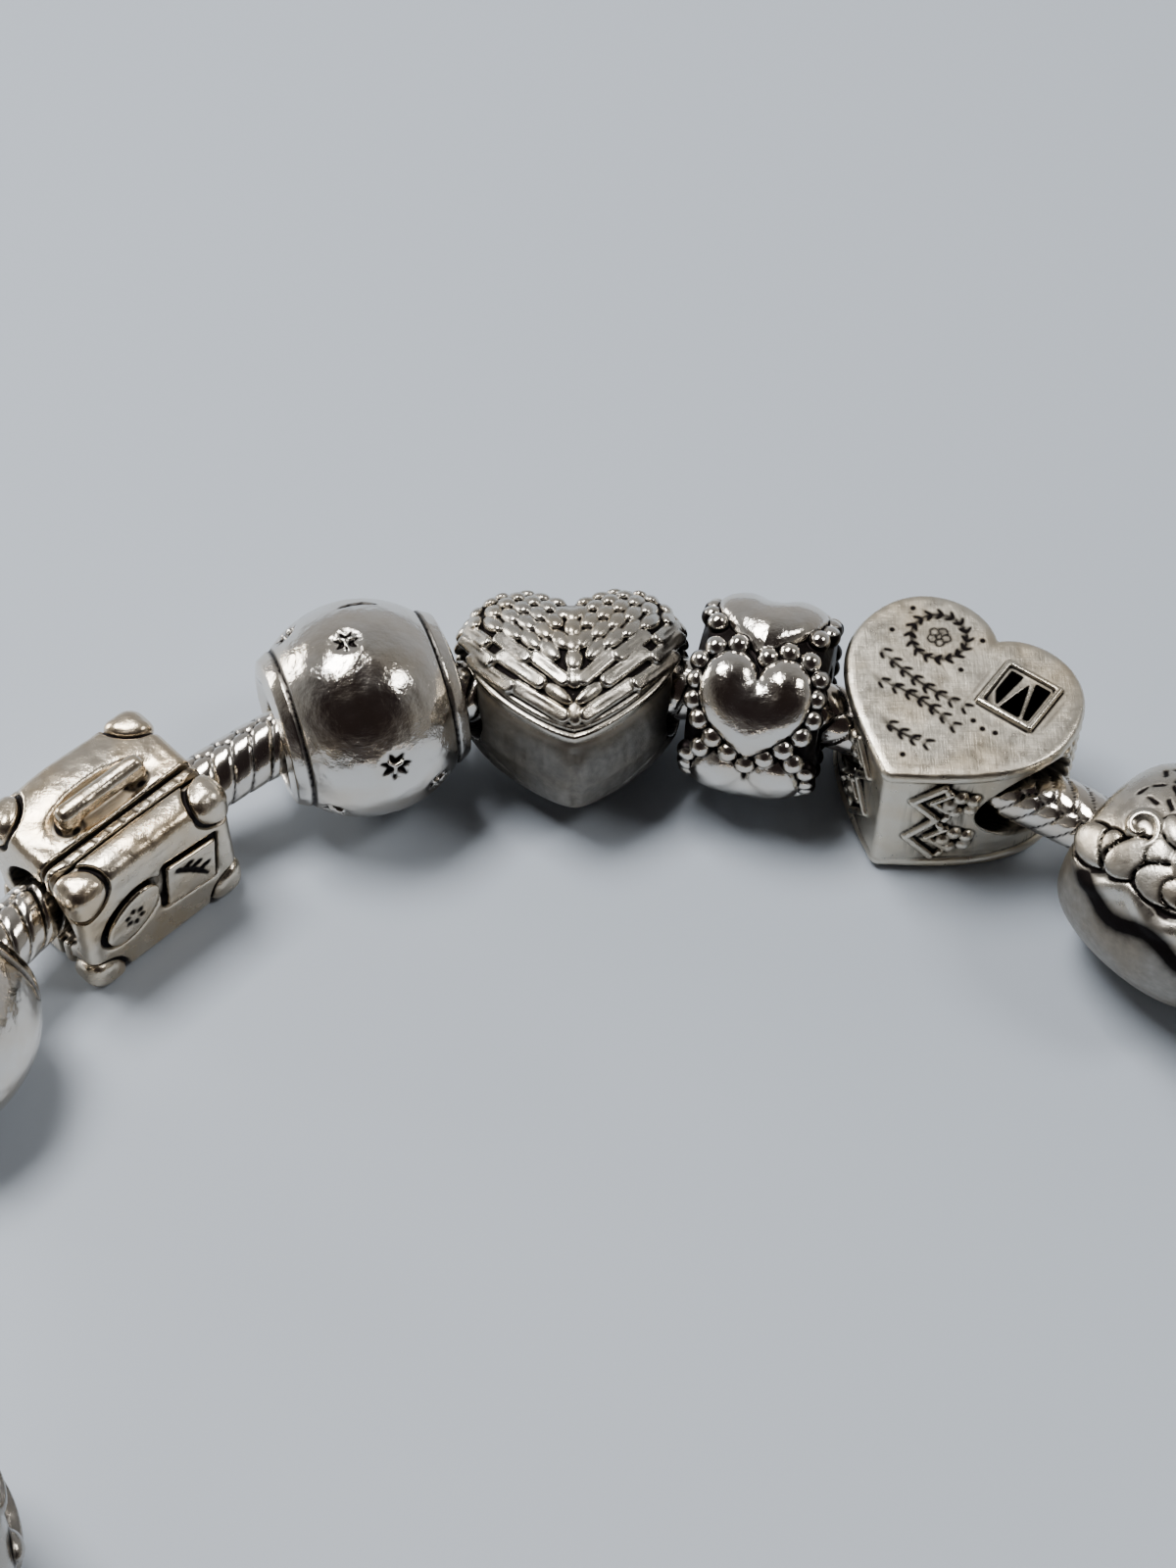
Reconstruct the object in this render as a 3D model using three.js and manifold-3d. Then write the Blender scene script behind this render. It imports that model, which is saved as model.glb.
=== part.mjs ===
import * as THREE from 'three';
import { mergeVertices } from 'three/addons/utils/BufferGeometryUtils.js';
import Module from 'manifold-3d';

// A charm bracelet lying on a table. Millimetres, +Z up, the table at z = 0.
// Arc positions run along the chain's centre line, clockwise seen from above,
// from the middle of the far side.

// Loop of the chain, on its centre line
const LEFT_REACH = 31.8;
const RIGHT_REACH = 35.0;
const FAR_REACH = 31.8;
const NEAR_REACH = 27.5;

// Chain
const CHAIN_D = 3.0;
const LINK_PITCH = 1.15;
const SEAM_DEPTH = 0.22;
const CHAIN_SIDES = 10;
const BORE_ROOM = 0.8;
const SEAT_GAP = 0.3;
const LINKS_PAST = 5;

// Spacing along the chain
const TOUCH = 0.35;
const WINGS_AT = -0.75;
const BALL_TO_CASE = 4.4;
const CASE_TO_ROUND = 3.6;
const ROUND_TO_PETAL = 16.5;
const PETAL_TO_DOTS = 1.0;
const BOX_TO_RELIEF = 4.3;

// Suitcase
const CASE_L = 8.9;
const CASE_DEPTH = 7.1;
const CASE_H = 7.6;
const CASE_EDGE = 0.9;
const LID_SPLIT = 2.2;
const BAND_W = 0.7;
const BAND_GROOVE = 0.3;
const HANDLE_L = 4.9;
const HANDLE_BAR = 1.2;
const HANDLE_GAP = 0.75;
const HANDLE_INSET = 3.6;
const CAP_D = 2.2;
const CAP_PROUD = 0.25;
const LABEL_PROUD = 0.25;
const LABEL_SUNK = 0.35;
const OVAL_L = 3.6;
const OVAL_H = 2.3;
const TICKET_L = 3.2;
const TICKET_H = 2.9;

// Ball with stars
const BALL_D = 10.6;
const BALL_L = 9.0;
const COLLAR_D = 7.0;
const COLLAR_W = 0.6;
const STAR_D = 1.5;
const STAR_DEPTH = 0.2;

// Winged heart
const WINGS_W = 11.3;
const WINGS_PLAN = 10.3;
const WINGS_CLEFT = 1.8;
const WINGS_INWARD = 0.85;
const WINGS_TUCK = 0.2;
const WINGS_T = 8.6;
const WINGS_PUFF = 0.4;
const FEATHER_PROUD = 0.45;

// Spacer with beaded hearts
const HEARTS_L = 6.8;
const HEARTS_D = 8.6;
const HEARTS_COUNT = 5;
const HEARTS_RIM = 0.6;
const PUFF_W = 5.1;
const PUFF_H = 4.6;
const PUFF_PROUD = 0.65;
const GRAIN_D = 1.05;
const GRAIN_SINK = 0.12;
const HEARTS_TURN = 44;

// Heart box
const BOX_W = 11.8;
const BOX_PLAN = 10.9;
const BOX_CLEFT = 1.5;
const BOX_OUTWARD = 0.65;
const BOX_TUCK = 0.95;
const BOX_TURN = -10.5;
const BOX_T = 7.9;
const BOX_WALL = 1.1;
const BOX_RIM = 0.35;
const BOX_RIM_W = 0.5;
const WINDOW = 1.9;
const WINDOW_ASIDE = 2.6;
const WINDOW_UP = 2.4;
const WINDOW_FRAME = 0.38;
const WINDOW_BAR = 0.4;
const WALL_RELIEF = 0.4;
const HOLE_MARGIN = 0.7;

// Charm with leaf relief
const RELIEF_D = 10.2;
const RELIEF_L = 8.8;
const LEAF_PROUD = 0.45;
const LEAF_L = 4.2;
const LEAF_W = 2.0;
const LEAF_COUNT = 5;

// Round bead
const ROUND_D = 9.3;
const ROUND_L = 8.4;
const ROUND_GROOVE = 0.5;

// Petal bead
const PETAL_D = 12.4;
const PETAL_L = 9.4;
const PETAL_COUNT = 6;
const PANEL_L = 5.0;
const PANEL_W = 4.0;
const PANEL_RIM = 0.35;
const PANEL_PROUD = 0.3;

// Dotted spacer
const DOTS_D = 9.6;
const DOTS_L = 3.4;
const DOTS_COUNT = 10;
const DOT_D = 2.0;

// Clasp
const CLASP_D = 8.6;
const CLASP_L = 13.0;
const SOCKET_DEPTH = 3.5;
const CLASP_GROOVE = 0.35;

const wasm = await Module();
wasm.setup();

const SILVER = { color: 0xb9b3a8, roughness: 0.32, metalness: 1 };
const BRIGHT = { color: 0xcfcbc4, roughness: 0.18, metalness: 1 };
const DARK = { color: 0x8e8679, roughness: 0.42, metalness: 1 };

// Closed solid of a three.js geometry, moved by a matrix.
function solid(geometry, matrix = new THREE.Matrix4()) {
  geometry.deleteAttribute('normal');
  geometry.deleteAttribute('uv');
  const merged = mergeVertices(geometry, 1e-4).applyMatrix4(matrix);
  const index = merged.index.array;
  const faces = [];
  for (let i = 0; i < index.length; i += 3) {
    const [a, b, c] = index.slice(i, i + 3);
    if (a !== b && b !== c && c !== a) faces.push(a, b, c);
  }
  return new wasm.Manifold(new wasm.Mesh({
    numProp: 3,
    vertProperties: Float32Array.from(merged.attributes.position.array),
    triVerts: Uint32Array.from(faces),
  }));
}

function geometryOf(manifold) {
  const mesh = manifold.getMesh();
  const geometry = new THREE.BufferGeometry();
  geometry.setAttribute('position', new THREE.BufferAttribute(mesh.vertProperties, 3));
  geometry.setIndex(new THREE.BufferAttribute(mesh.triVerts, 1));
  geometry.computeVertexNormals();
  return geometry;
}

const union = (parts) => parts.reduce((a, b) => a.add(b));
const at = (x, y, z) => new THREE.Matrix4().makeTranslation(x, y, z);
const turn = (x, y, z) => new THREE.Matrix4().makeRotationFromEuler(new THREE.Euler(x, y, z));
const sized = (x, y, z) => new THREE.Matrix4().makeScale(x, y, z);
const move = (...matrices) => matrices.reduce((a, b) => a.multiply(b), new THREE.Matrix4());

// Solid of revolution round the bore (X), from [distance along X, radius] pairs.
function turned(profile, sides) {
  const points = profile.map(([x, r]) => new THREE.Vector2(r, x));
  return solid(new THREE.LatheGeometry(points, sides), turn(0, 0, -Math.PI / 2));
}

// Outline lifted along Z with rounded edges, its full size kept, centred on z = 0.
function slab(shape, thickness, edge, edgeSteps, curveSegments) {
  const geometry = new THREE.ExtrudeGeometry(shape, {
    depth: thickness - 2 * edge, bevelEnabled: edge > 0, bevelThickness: edge,
    bevelSize: edge, bevelOffset: -edge, bevelSegments: edgeSteps, curveSegments,
  });
  return solid(geometry, at(0, 0, edge - thickness / 2));
}

function block(x, y, z, matrix) {
  return solid(new THREE.BoxGeometry(x, y, z), matrix);
}

function ball(diameter, sides, rings, matrix = new THREE.Matrix4()) {
  return solid(new THREE.SphereGeometry(diameter / 2, sides, rings), matrix);
}

// Outline with puffed sides: each level is the outline drawn smaller towards its middle.
function puffed(shape, thickness, share, steps) {
  const geometry = new THREE.ExtrudeGeometry(shape, { depth: 2, bevelEnabled: false, steps });
  const steepest = THREE.MathUtils.degToRad(66);
  const points = geometry.attributes.position;
  for (let i = 0; i < points.count; i++) {
    const angle = steepest * (points.getZ(i) - 1);
    const k = 1 - share * (1 - Math.cos(angle));
    points.setXYZ(i, points.getX(i) * k, points.getY(i) * k,
      thickness / 2 * Math.sin(angle) / Math.sin(steepest));
  }
  return solid(geometry);
}

// Heart with its tip towards -Y. The outline's middle height is at y = 0.
function heart(width, height, cleftDepth, steps = 6) {
  const w = width / 2;
  const tip = -height / 2;
  const top = height / 2;
  const cleft = top - cleftDepth;
  const widest = tip + height * 0.64;
  const pull = (top - (widest + cleft) / 8) / 0.75;
  const shape = new THREE.Shape();
  shape.moveTo(0, tip);
  shape.bezierCurveTo(w * 0.34, tip + height * 0.13, w, widest - height * 0.3, w, widest);
  shape.bezierCurveTo(w, pull, w * 0.14, pull, 0, cleft);
  shape.bezierCurveTo(-w * 0.14, pull, -w, pull, -w, widest);
  shape.bezierCurveTo(-w, widest - height * 0.3, -w * 0.34, tip + height * 0.13, 0, tip);
  return new THREE.Shape(shape.getPoints(steps).slice(0, -1));
}

function ellipse(width, height, sides) {
  return new THREE.Shape(Array.from({ length: sides }, (_, i) => {
    const angle = Math.PI * 2 * (i + 0.5) / sides;
    return new THREE.Vector2(width / 2 * Math.cos(angle), height / 2 * Math.sin(angle));
  }));
}

function rectangle(width, height) {
  const [x, y] = [width / 2, height / 2];
  return new THREE.Shape([[-x, -y], [x, -y], [x, y], [-x, y]].map((p) => new THREE.Vector2(...p)));
}

// Flat frame along an outline: the outline's slab less the same outline drawn smaller.
function frame(outline, width, height, rim, thickness) {
  return slab(outline(width, height), thickness, 0, 1, 4)
    .subtract(slab(outline(width - 2 * rim, height - 2 * rim), thickness + 1, 0, 1, 4));
}

// Plan of the chain: an arc on the far side and a flatter one on the near side.
class Loop extends THREE.Curve {
  getPoint(t, target = new THREE.Vector3()) {
    const angle = Math.PI * 2 * t;
    const aside = Math.sin(angle) > 0 ? RIGHT_REACH : LEFT_REACH;
    const reach = Math.cos(angle) > 0 ? FAR_REACH : NEAR_REACH;
    return target.set(aside * Math.sin(angle), reach * Math.cos(angle), 0);
  }
}
const loop = new Loop();
loop.arcLengthDivisions = 1440;
const LOOP_LENGTH = loop.getLength();

function planPoint(s) {
  return loop.getPointAt((((s / LOOP_LENGTH) % 1) + 1) % 1);
}

function planHeading(s) {
  const step = planPoint(s + 0.05).sub(planPoint(s - 0.05));
  return Math.atan2(step.y, step.x);
}

// Suitcase: length along the bore, labels on the -Y face, handle on the top.
function suitcase() {
  const top = CASE_H / 2;
  const front = -CASE_DEPTH / 2;
  const split = front + LID_SPLIT;
  const profile = new THREE.Shape();
  const [y, z, c] = [CASE_DEPTH / 2, CASE_H / 2, CASE_EDGE];
  profile.moveTo(-y + c, -z);
  profile.lineTo(y - c, -z);
  profile.quadraticCurveTo(y, -z, y, -z + c);
  profile.lineTo(y, z - c);
  profile.quadraticCurveTo(y, z, y - c, z);
  profile.lineTo(-y + c, z);
  profile.quadraticCurveTo(-y, z, -y, z - c);
  profile.lineTo(-y, -z + c);
  profile.quadraticCurveTo(-y, -z, -y + c, -z);
  const alongX = turn(0, Math.PI / 2, 0).multiply(turn(0, 0, Math.PI / 2));
  const body = solid(new THREE.ExtrudeGeometry(profile, {
    depth: CASE_L - 2 * CASE_EDGE, bevelThickness: CASE_EDGE, bevelSize: CASE_EDGE,
    bevelOffset: -CASE_EDGE, bevelSegments: 2, curveSegments: 2,
  }), move(alongX, at(0, 0, CASE_EDGE - CASE_L / 2)));
  const cuts = [];
  // Two grooves round the case leave a thin band between lid and base.
  for (const side of [-1, 1]) {
    const groove = at(0, split + side * (BAND_W + BAND_GROOVE) / 2, 0);
    cuts.push(block(CASE_L + 2, BAND_GROOVE, CASE_H + 2, groove)
      .subtract(block(CASE_L - 2 * BAND_GROOVE, BAND_GROOVE + 1, CASE_H - 2 * BAND_GROOVE, groove)));
  }
  // Recesses round the labels on the front face.
  const onFront = (x, drop) => move(at(x, front - drop, 0), turn(Math.PI / 2, 0, 0));
  const labelMid = CASE_L * 0.02;
  const ovalAt = labelMid - 0.3 - OVAL_L / 2;
  const ticketAt = labelMid + 0.1 + TICKET_L / 2;
  const oval = (w, h) => ellipse(w, h, 12);
  const moat = (outline, w, h, x) => slab(outline(w + 2 * LABEL_SUNK, h + 2 * LABEL_SUNK), 2 * LABEL_SUNK,
    0, 1, 4).subtract(slab(outline(w, h), 4 * LABEL_SUNK, 0, 1, 4)).transform(onFront(x, 0).elements);
  cuts.push(moat(oval, OVAL_L, OVAL_H, ovalAt), moat(rectangle, TICKET_L, TICKET_H, ticketAt));
  const adds = [];
  for (const [x, outline, w, h] of [[ovalAt, oval, OVAL_L, OVAL_H], [ticketAt, rectangle, TICKET_L, TICKET_H]]) {
    adds.push(frame(outline, w, h, 0.3, 2 * LABEL_PROUD).transform(onFront(x, 0).elements));
  }
  // Rounded caps on the eight corners.
  for (const sx of [-1, 1]) for (const sy of [-1, 1]) for (const sz of [-1, 1]) {
    const inset = CAP_D / 2 - CAP_PROUD;
    adds.push(ball(CAP_D, 10, 3, at(sx * (CASE_L / 2 - inset), sy * (CASE_DEPTH / 2 - inset),
      sz * (CASE_H / 2 - inset))));
  }
  // Bar handle on two posts.
  const handleY = CASE_DEPTH / 2 - HANDLE_INSET;
  const rise = top + HANDLE_GAP + HANDLE_BAR / 2;
  adds.push(turned([[-HANDLE_L / 2, 0], [-HANDLE_L / 2, HANDLE_BAR * 0.3], [-HANDLE_L * 0.4, HANDLE_BAR / 2],
    [HANDLE_L * 0.4, HANDLE_BAR / 2], [HANDLE_L / 2, HANDLE_BAR * 0.3], [HANDLE_L / 2, 0]], 10)
    .transform(at(0, handleY, rise).elements));
  for (const side of [-1, 1]) {
    const post = HANDLE_GAP + HANDLE_BAR / 2 + 1;
    adds.push(block(HANDLE_BAR * 0.8, HANDLE_BAR * 0.8, post,
      at(side * HANDLE_L * 0.38, handleY, rise - post / 2)));
  }
  return union([body.subtract(union(cuts)), ...adds]);
}

// Ball with a flat collar at each end and pressed stars.
function starBall() {
  const profile = [[-BALL_L / 2, 0], [-BALL_L / 2, COLLAR_D / 2], [COLLAR_W - BALL_L / 2, COLLAR_D / 2]];
  const limit = Math.acos(Math.min(1, (BALL_L / 2 - COLLAR_W) / (BALL_D / 2)));
  const rings = 7;
  for (let i = 0; i <= rings; i++) {
    const a = Math.PI - limit - (Math.PI - 2 * limit) * i / rings;
    profile.push([BALL_D / 2 * Math.cos(a), BALL_D / 2 * Math.sin(a)]);
  }
  profile.push([BALL_L / 2 - COLLAR_W, COLLAR_D / 2], [BALL_L / 2, COLLAR_D / 2], [BALL_L / 2, 0]);
  const body = turned(profile, 16);
  const star = () => new THREE.Shape(Array.from({ length: 12 }, (_, i) => {
    const r = STAR_D / 2 * (i % 2 ? 0.45 : 1);
    return new THREE.Vector2(r * Math.cos(i * Math.PI / 6), r * Math.sin(i * Math.PI / 6));
  }));
  // Places of the stars: degrees round the bore from the top, and distance along it.
  const stars = [];
  for (let row = 0; row < 2; row++) {
    for (let i = 0; i < 4; i++) {
      const round = (i + row / 2) * Math.PI * 2 / 4;
      const lean = (row - 0.5) * 0.6;
      stars.push(slab(star(), 2 * STAR_DEPTH, 0, 1, 1).transform(
        move(turn(round, 0, 0), turn(0, lean, 0), at(0, 0, BALL_D / 2)).elements));
    }
  }
  return body.subtract(union(stars));
}

// Puffed heart with two folded wings: small scales on the lobes, long feathers to the middle.
function wingedHeart() {
  const parts = [puffed(heart(WINGS_W, WINGS_PLAN, WINGS_CLEFT), WINGS_T, WINGS_PUFF, 6)];
  const flat = WINGS_T / 2;
  for (const side of [-1, 1]) {
    for (let row = 0; row < 3; row++) {
      const count = 4 - row;
      for (let i = 0; i < count; i++) {
        const x = side * WINGS_W * (0.1 + 0.085 * i + 0.06 * row);
        const y = WINGS_PLAN * (0.27 - 0.12 * row - 0.03 * i);
        const scale = move(at(x, y, flat), turn(0, 0, side * 0.5), sized(WINGS_W * 0.055,
          WINGS_PLAN * 0.075, FEATHER_PROUD));
        parts.push(solid(new THREE.SphereGeometry(1, 6, 3), scale));
      }
    }
    for (let i = 0; i < 3; i++) {
      const x = side * WINGS_W * (0.055 + 0.07 * i);
      const y = WINGS_PLAN * (-0.2 + 0.06 * i);
      const feather = move(at(x, y, flat), turn(0, 0, side * (0.45 + 0.12 * i)),
        sized(WINGS_W * 0.042, WINGS_PLAN * 0.15, FEATHER_PROUD));
      parts.push(solid(new THREE.SphereGeometry(1, 6, 3), feather));
    }
  }
  return union(parts).transform(at(0, -WINGS_INWARD, 0).elements);
}

// Barrel with puffed hearts side by side, each outlined by a row of beads.
function beadedHearts() {
  const r = HEARTS_D / 2;
  const end = HEARTS_L / 2;
  const body = turned([[-end, 0], [-end, r - HEARTS_RIM], [HEARTS_RIM - end, r], [end - HEARTS_RIM, r],
    [end, r - HEARTS_RIM], [end, 0]], 16);
  const parts = [body];
  const puff = heart(PUFF_W, PUFF_H, PUFF_H * 0.16, 3);
  const outline = heart(PUFF_W + GRAIN_D, PUFF_H + GRAIN_D, PUFF_H * 0.12).getSpacedPoints(72);
  const turns = Array.from({ length: HEARTS_COUNT }, (_, i) => i * Math.PI * 2 / HEARTS_COUNT);
  const spacing = GRAIN_D * 1.08;
  const grains = [];
  for (const angle of turns) {
    // The heart's tip points down the near side of the barrel.
    const facing = turn(angle + THREE.MathUtils.degToRad(90 - HEARTS_TURN), 0, 0);
    parts.push(puffed(puff, 2 * PUFF_PROUD, 0.8, 4)
      .transform(move(facing, at(0, 0, r - PUFF_PROUD * 0.35)).elements));
    let travelled = spacing;
    for (let i = 0; i < outline.length - 1; i++) {
      if (i) travelled += outline[i].distanceTo(outline[i - 1]);
      if (travelled < spacing) continue;
      travelled = 0;
      // Neighbouring hearts share the beads between them.
      const lean = -outline[i].y / r;
      const grain = new THREE.Vector3(0, 0, r).applyMatrix4(move(facing, turn(lean, 0, 0)))
        .setX(outline[i].x);
      if (grains.some((other) => other.distanceTo(grain) < GRAIN_D * 0.9)) continue;
      grains.push(grain);
      parts.push(solid(new THREE.SphereGeometry(GRAIN_D / 2, 10, 3),
        move(facing, turn(lean, 0, 0), at(outline[i].x, 0, r - GRAIN_SINK), turn(Math.PI / 2, 0, 0))));
    }
  }
  return union(parts);
}

// Hollow heart with flat faces, a rim on each face, a pierced window and relief on the walls.
function heartBox() {
  const flat = BOX_T / 2;
  const shell = slab(heart(BOX_W, BOX_PLAN, BOX_CLEFT), BOX_T, 0.3, 1, 8);
  const inner = (inset, height) => slab(heart(BOX_W - 2 * inset, BOX_PLAN - 2.3 * inset, BOX_CLEFT),
    height, 0, 1, 8);
  const cuts = [inner(BOX_WALL, BOX_T - 2 * BOX_WALL)];
  // The face inside the rim is slightly sunk.
  cuts.push(inner(BOX_RIM_W, 2 * BOX_RIM).transform(at(0, 0, flat).elements));
  const window = at(WINDOW_ASIDE, WINDOW_UP, flat - BOX_RIM);
  const panes = block(WINDOW, WINDOW, 2 * BOX_WALL + 1, window);
  const pitch = WINDOW / 3;
  const bars = [-0.5, 0.5].map((k) => block(WINDOW_BAR, WINDOW * 1.2, 2 * BOX_WALL + 2,
    move(window, at(k * pitch * 1.1, 0, 0), turn(0, 0, 0.6 * k))));
  cuts.push(panes.subtract(union(bars)));
  const outer = WINDOW + 2 * WINDOW_FRAME;
  const windowFrame = frame(rectangle, outer, outer, WINDOW_FRAME, 2 * BOX_RIM).transform(window.elements);
  const walls = [shell];
  const bare = CHAIN_D / 2 + BORE_ROOM + HOLE_MARGIN;
  const lean = Math.sin(THREE.MathUtils.degToRad(BOX_TURN));
  // Zigzag and studs on the wall, from the tip round both sides.
  const rim = heart(BOX_W, BOX_PLAN, BOX_CLEFT).getSpacedPoints(28);
  const rooted = WALL_RELIEF + BOX_WALL * 0.8;
  for (let i = 2; i < 26; i++) {
    if (i > 11 && i < 16) continue;
    const [a, b] = [rim[i], rim[i + 1]];
    // The relief stops short of the holes for the chain.
    const aside = (a.y + b.y) / 2 + BOX_OUTWARD + (a.x + b.x) / 2 * lean;
    if (Math.abs(aside) < bare) continue;
    const heading = Math.atan2(b.y - a.y, b.x - a.x);
    const up = i % 2 ? 1 : -1;
    const stroke = move(at((a.x + b.x) / 2, (a.y + b.y) / 2, -BOX_T * 0.18), turn(0, 0, heading),
      at(0, rooted / 2 - WALL_RELIEF, 0), turn(0, -up * 0.85, 0));
    walls.push(block(a.distanceTo(b) * 1.45, rooted, 0.45, stroke));
  }
  return union([union(walls).subtract(union(cuts)), windowFrame]).transform(at(0, BOX_OUTWARD, 0).elements);
}

// Squat barrel with leaves in relief round its middle.
function leafRelief() {
  const r = RELIEF_D / 2;
  const e = RELIEF_L / 2;
  const body = turned([[-e, 0], [-e, r * 0.62], [-e * 0.86, r * 0.78], [-e * 0.62, r * 0.92], [-e * 0.3, r],
    [e * 0.3, r], [e * 0.62, r * 0.92], [e * 0.86, r * 0.78], [e, r * 0.62], [e, 0]], 16);
  const parts = [body];
  for (let i = 0; i < LEAF_COUNT; i++) {
    const angle = i * Math.PI * 2 / LEAF_COUNT;
    const side = i % 2 ? 1 : -1;
    for (const [shift, tilt, size] of [[-0.12, 0.5, 1], [0.2, -0.7, 0.7]]) {
      const leaf = move(turn(angle, 0, 0), at(side * RELIEF_L * shift, 0, r * 0.97), turn(0, 0, side * tilt),
        sized(LEAF_W / 2 * size, LEAF_L / 2 * size, LEAF_PROUD));
      parts.push(solid(new THREE.SphereGeometry(1, 6, 4), leaf));
    }
  }
  return union(parts);
}

// Smooth bead with one groove near its end.
function roundBead() {
  const r = ROUND_D / 2;
  const e = ROUND_L / 2;
  const bulge = (x) => r * Math.sqrt(1 - (x / e) ** 2 * 0.62);
  const profile = [[-e, 0], [-e, bulge(e)]];
  const groove = -e * 0.62;
  profile.push([groove - 0.35, bulge(groove)], [groove, bulge(groove) - ROUND_GROOVE],
    [groove + 0.35, bulge(groove)]);
  for (const k of [-0.35, -0.1, 0.1, 0.35, 0.6, 0.82]) profile.push([e * k, bulge(e * k)]);
  profile.push([e, bulge(e)], [e, 0]);
  return turned(profile, 16);
}

// Large bead with a ring of flat oval panels in thin rims.
function petalBead() {
  const r = PETAL_D / 2 - PANEL_PROUD;
  const e = PETAL_L / 2;
  const body = turned([[-e, 0], [-e, r * 0.55], [-e * 0.88, r * 0.66], [-e * 0.7, r * 0.86],
    [-e * 0.4, r * 0.98], [e * 0.4, r * 0.98], [e * 0.7, r * 0.86], [e * 0.88, r * 0.66],
    [e, r * 0.55], [e, 0]], 16);
  const parts = [body];
  const deep = PETAL_D * 0.2;
  const oval = (w, h) => ellipse(w, h, 12);
  for (let i = 0; i < PETAL_COUNT; i++) {
    const facing = turn(i * Math.PI * 2 / PETAL_COUNT, 0, 0);
    const top = PETAL_D / 2 - deep / 2;
    parts.push(slab(oval(PANEL_L - PANEL_RIM, PANEL_W - PANEL_RIM), deep, 0, 1, 4)
      .transform(move(facing, at(0, 0, top - PANEL_RIM / 2)).elements));
    parts.push(frame(oval, PANEL_L, PANEL_W, PANEL_RIM, deep).transform(move(facing, at(0, 0, top)).elements));
  }
  return union(parts);
}

// Narrow ring of round beads on a hub.
function dottedSpacer() {
  const hub = DOTS_D / 2 - DOT_D / 2;
  const e = DOTS_L / 2;
  const parts = [turned([[-e, 0], [-e, hub - 0.3], [0.4 - e, hub], [e - 0.4, hub], [e, hub - 0.3], [e, 0]], 16)];
  for (let i = 0; i < DOTS_COUNT; i++) {
    parts.push(ball(DOT_D, 10, 3, move(turn(i * Math.PI * 2 / DOTS_COUNT, 0, 0), at(0, 0, hub))));
  }
  return union(parts);
}

// Plain barrel with a blind socket at each end for the chain.
function claspBarrel() {
  const r = CLASP_D / 2;
  const e = CLASP_L / 2;
  const g = CLASP_GROOVE;
  return turned([[-e, 0], [-e, r * 0.72], [-e * 0.93, r * 0.84], [-e * 0.7, r * 0.9], [-e * 0.66, r * 0.9 - g],
    [-e * 0.6, r * 0.92], [-e * 0.3, r], [e * 0.3, r], [e * 0.6, r * 0.92], [e * 0.66, r * 0.9 - g],
    [e * 0.7, r * 0.9], [e * 0.93, r * 0.84], [e, r * 0.72], [e, 0]], 16);
}

// Charms in order round the loop: name, length along the chain, solid, colour, and the gap on
// the side towards the middle of the far arc.
const wings = { name: 'winged_heart_charm', length: WINGS_W - 2 * WINGS_TUCK, make: wingedHeart, look: SILVER };
const rightOfWings = [
  { name: 'beaded_hearts_spacer', length: HEARTS_L, make: beadedHearts, look: BRIGHT, gap: TOUCH },
  { name: 'heart_box_charm', length: BOX_W - 2 * BOX_TUCK, make: heartBox, look: SILVER, gap: TOUCH,
    yaw: BOX_TURN },
  { name: 'leaf_relief_charm', length: RELIEF_L, make: leafRelief, look: SILVER, gap: BOX_TO_RELIEF },
];
const leftOfWings = [
  { name: 'star_ball_charm', length: BALL_L, make: starBall, look: BRIGHT, gap: TOUCH },
  { name: 'suitcase_charm', length: CASE_L + 2 * CAP_PROUD, make: suitcase, look: SILVER,
    gap: BALL_TO_CASE },
  { name: 'round_bead', length: ROUND_L, make: roundBead, look: BRIGHT, gap: CASE_TO_ROUND },
  { name: 'petal_bead', length: PETAL_L, make: petalBead, look: DARK, gap: ROUND_TO_PETAL },
  { name: 'dotted_spacer', length: DOTS_L, make: dottedSpacer, look: DARK, gap: PETAL_TO_DOTS },
];
const clasp = { name: 'barrel_clasp', length: CLASP_L, make: claspBarrel, look: BRIGHT };

// Every piece lies on the table, which sets the height of its bore.
for (const charm of [wings, ...rightOfWings, ...leftOfWings, clasp]) {
  charm.solid = charm.make();
  charm.rise = -new THREE.Box3().setFromArray(charm.solid.getMesh().vertProperties).min.z;
}

wings.s = WINGS_AT;
for (const [side, row] of [[1, rightOfWings], [-1, leftOfWings]]) {
  let edge = WINGS_AT + side * wings.length / 2;
  for (const charm of row) {
    charm.s = edge + side * (charm.gap + charm.length / 2);
    edge = charm.s + side * charm.length / 2;
  }
}
clasp.s = LOOP_LENGTH / 2;
const charms = [...leftOfWings.toReversed(), wings, ...rightOfWings];

// The chain runs through the middle of every bore and eases from one height to the next.
const knots = [{ s: clasp.s - LOOP_LENGTH, rise: clasp.rise }, ...charms, clasp];
function chainHeight(s) {
  const wrapped = s - LOOP_LENGTH * Math.round(s / LOOP_LENGTH);
  const next = Math.max(1, knots.findIndex((knot) => knot.s >= wrapped));
  const [a, b] = [knots[next - 1], knots[next]];
  const mix = (1 - Math.cos(Math.PI * (wrapped - a.s) / (b.s - a.s))) / 2;
  return a.rise + (b.rise - a.rise) * mix;
}

function chainPoint(s) {
  return planPoint(s).setZ(chainHeight(s));
}

// Matrix of a charm's own frame: X along the bore, Y away from the loop's middle, Z up.
function charmMatrix(charm) {
  const yaw = THREE.MathUtils.degToRad(charm.yaw ?? 0);
  return at(...chainPoint(charm.s).toArray()).multiply(turn(0, 0, planHeading(charm.s) + yaw));
}

// Room for the chain between two places, as a round tube that follows it.
class ChainPath extends THREE.Curve {
  constructor(from, to) {
    super();
    this.from = from;
    this.to = to;
  }

  getPoint(t, target = new THREE.Vector3()) {
    return target.copy(chainPoint(this.from + (this.to - this.from) * t));
  }
}

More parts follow.
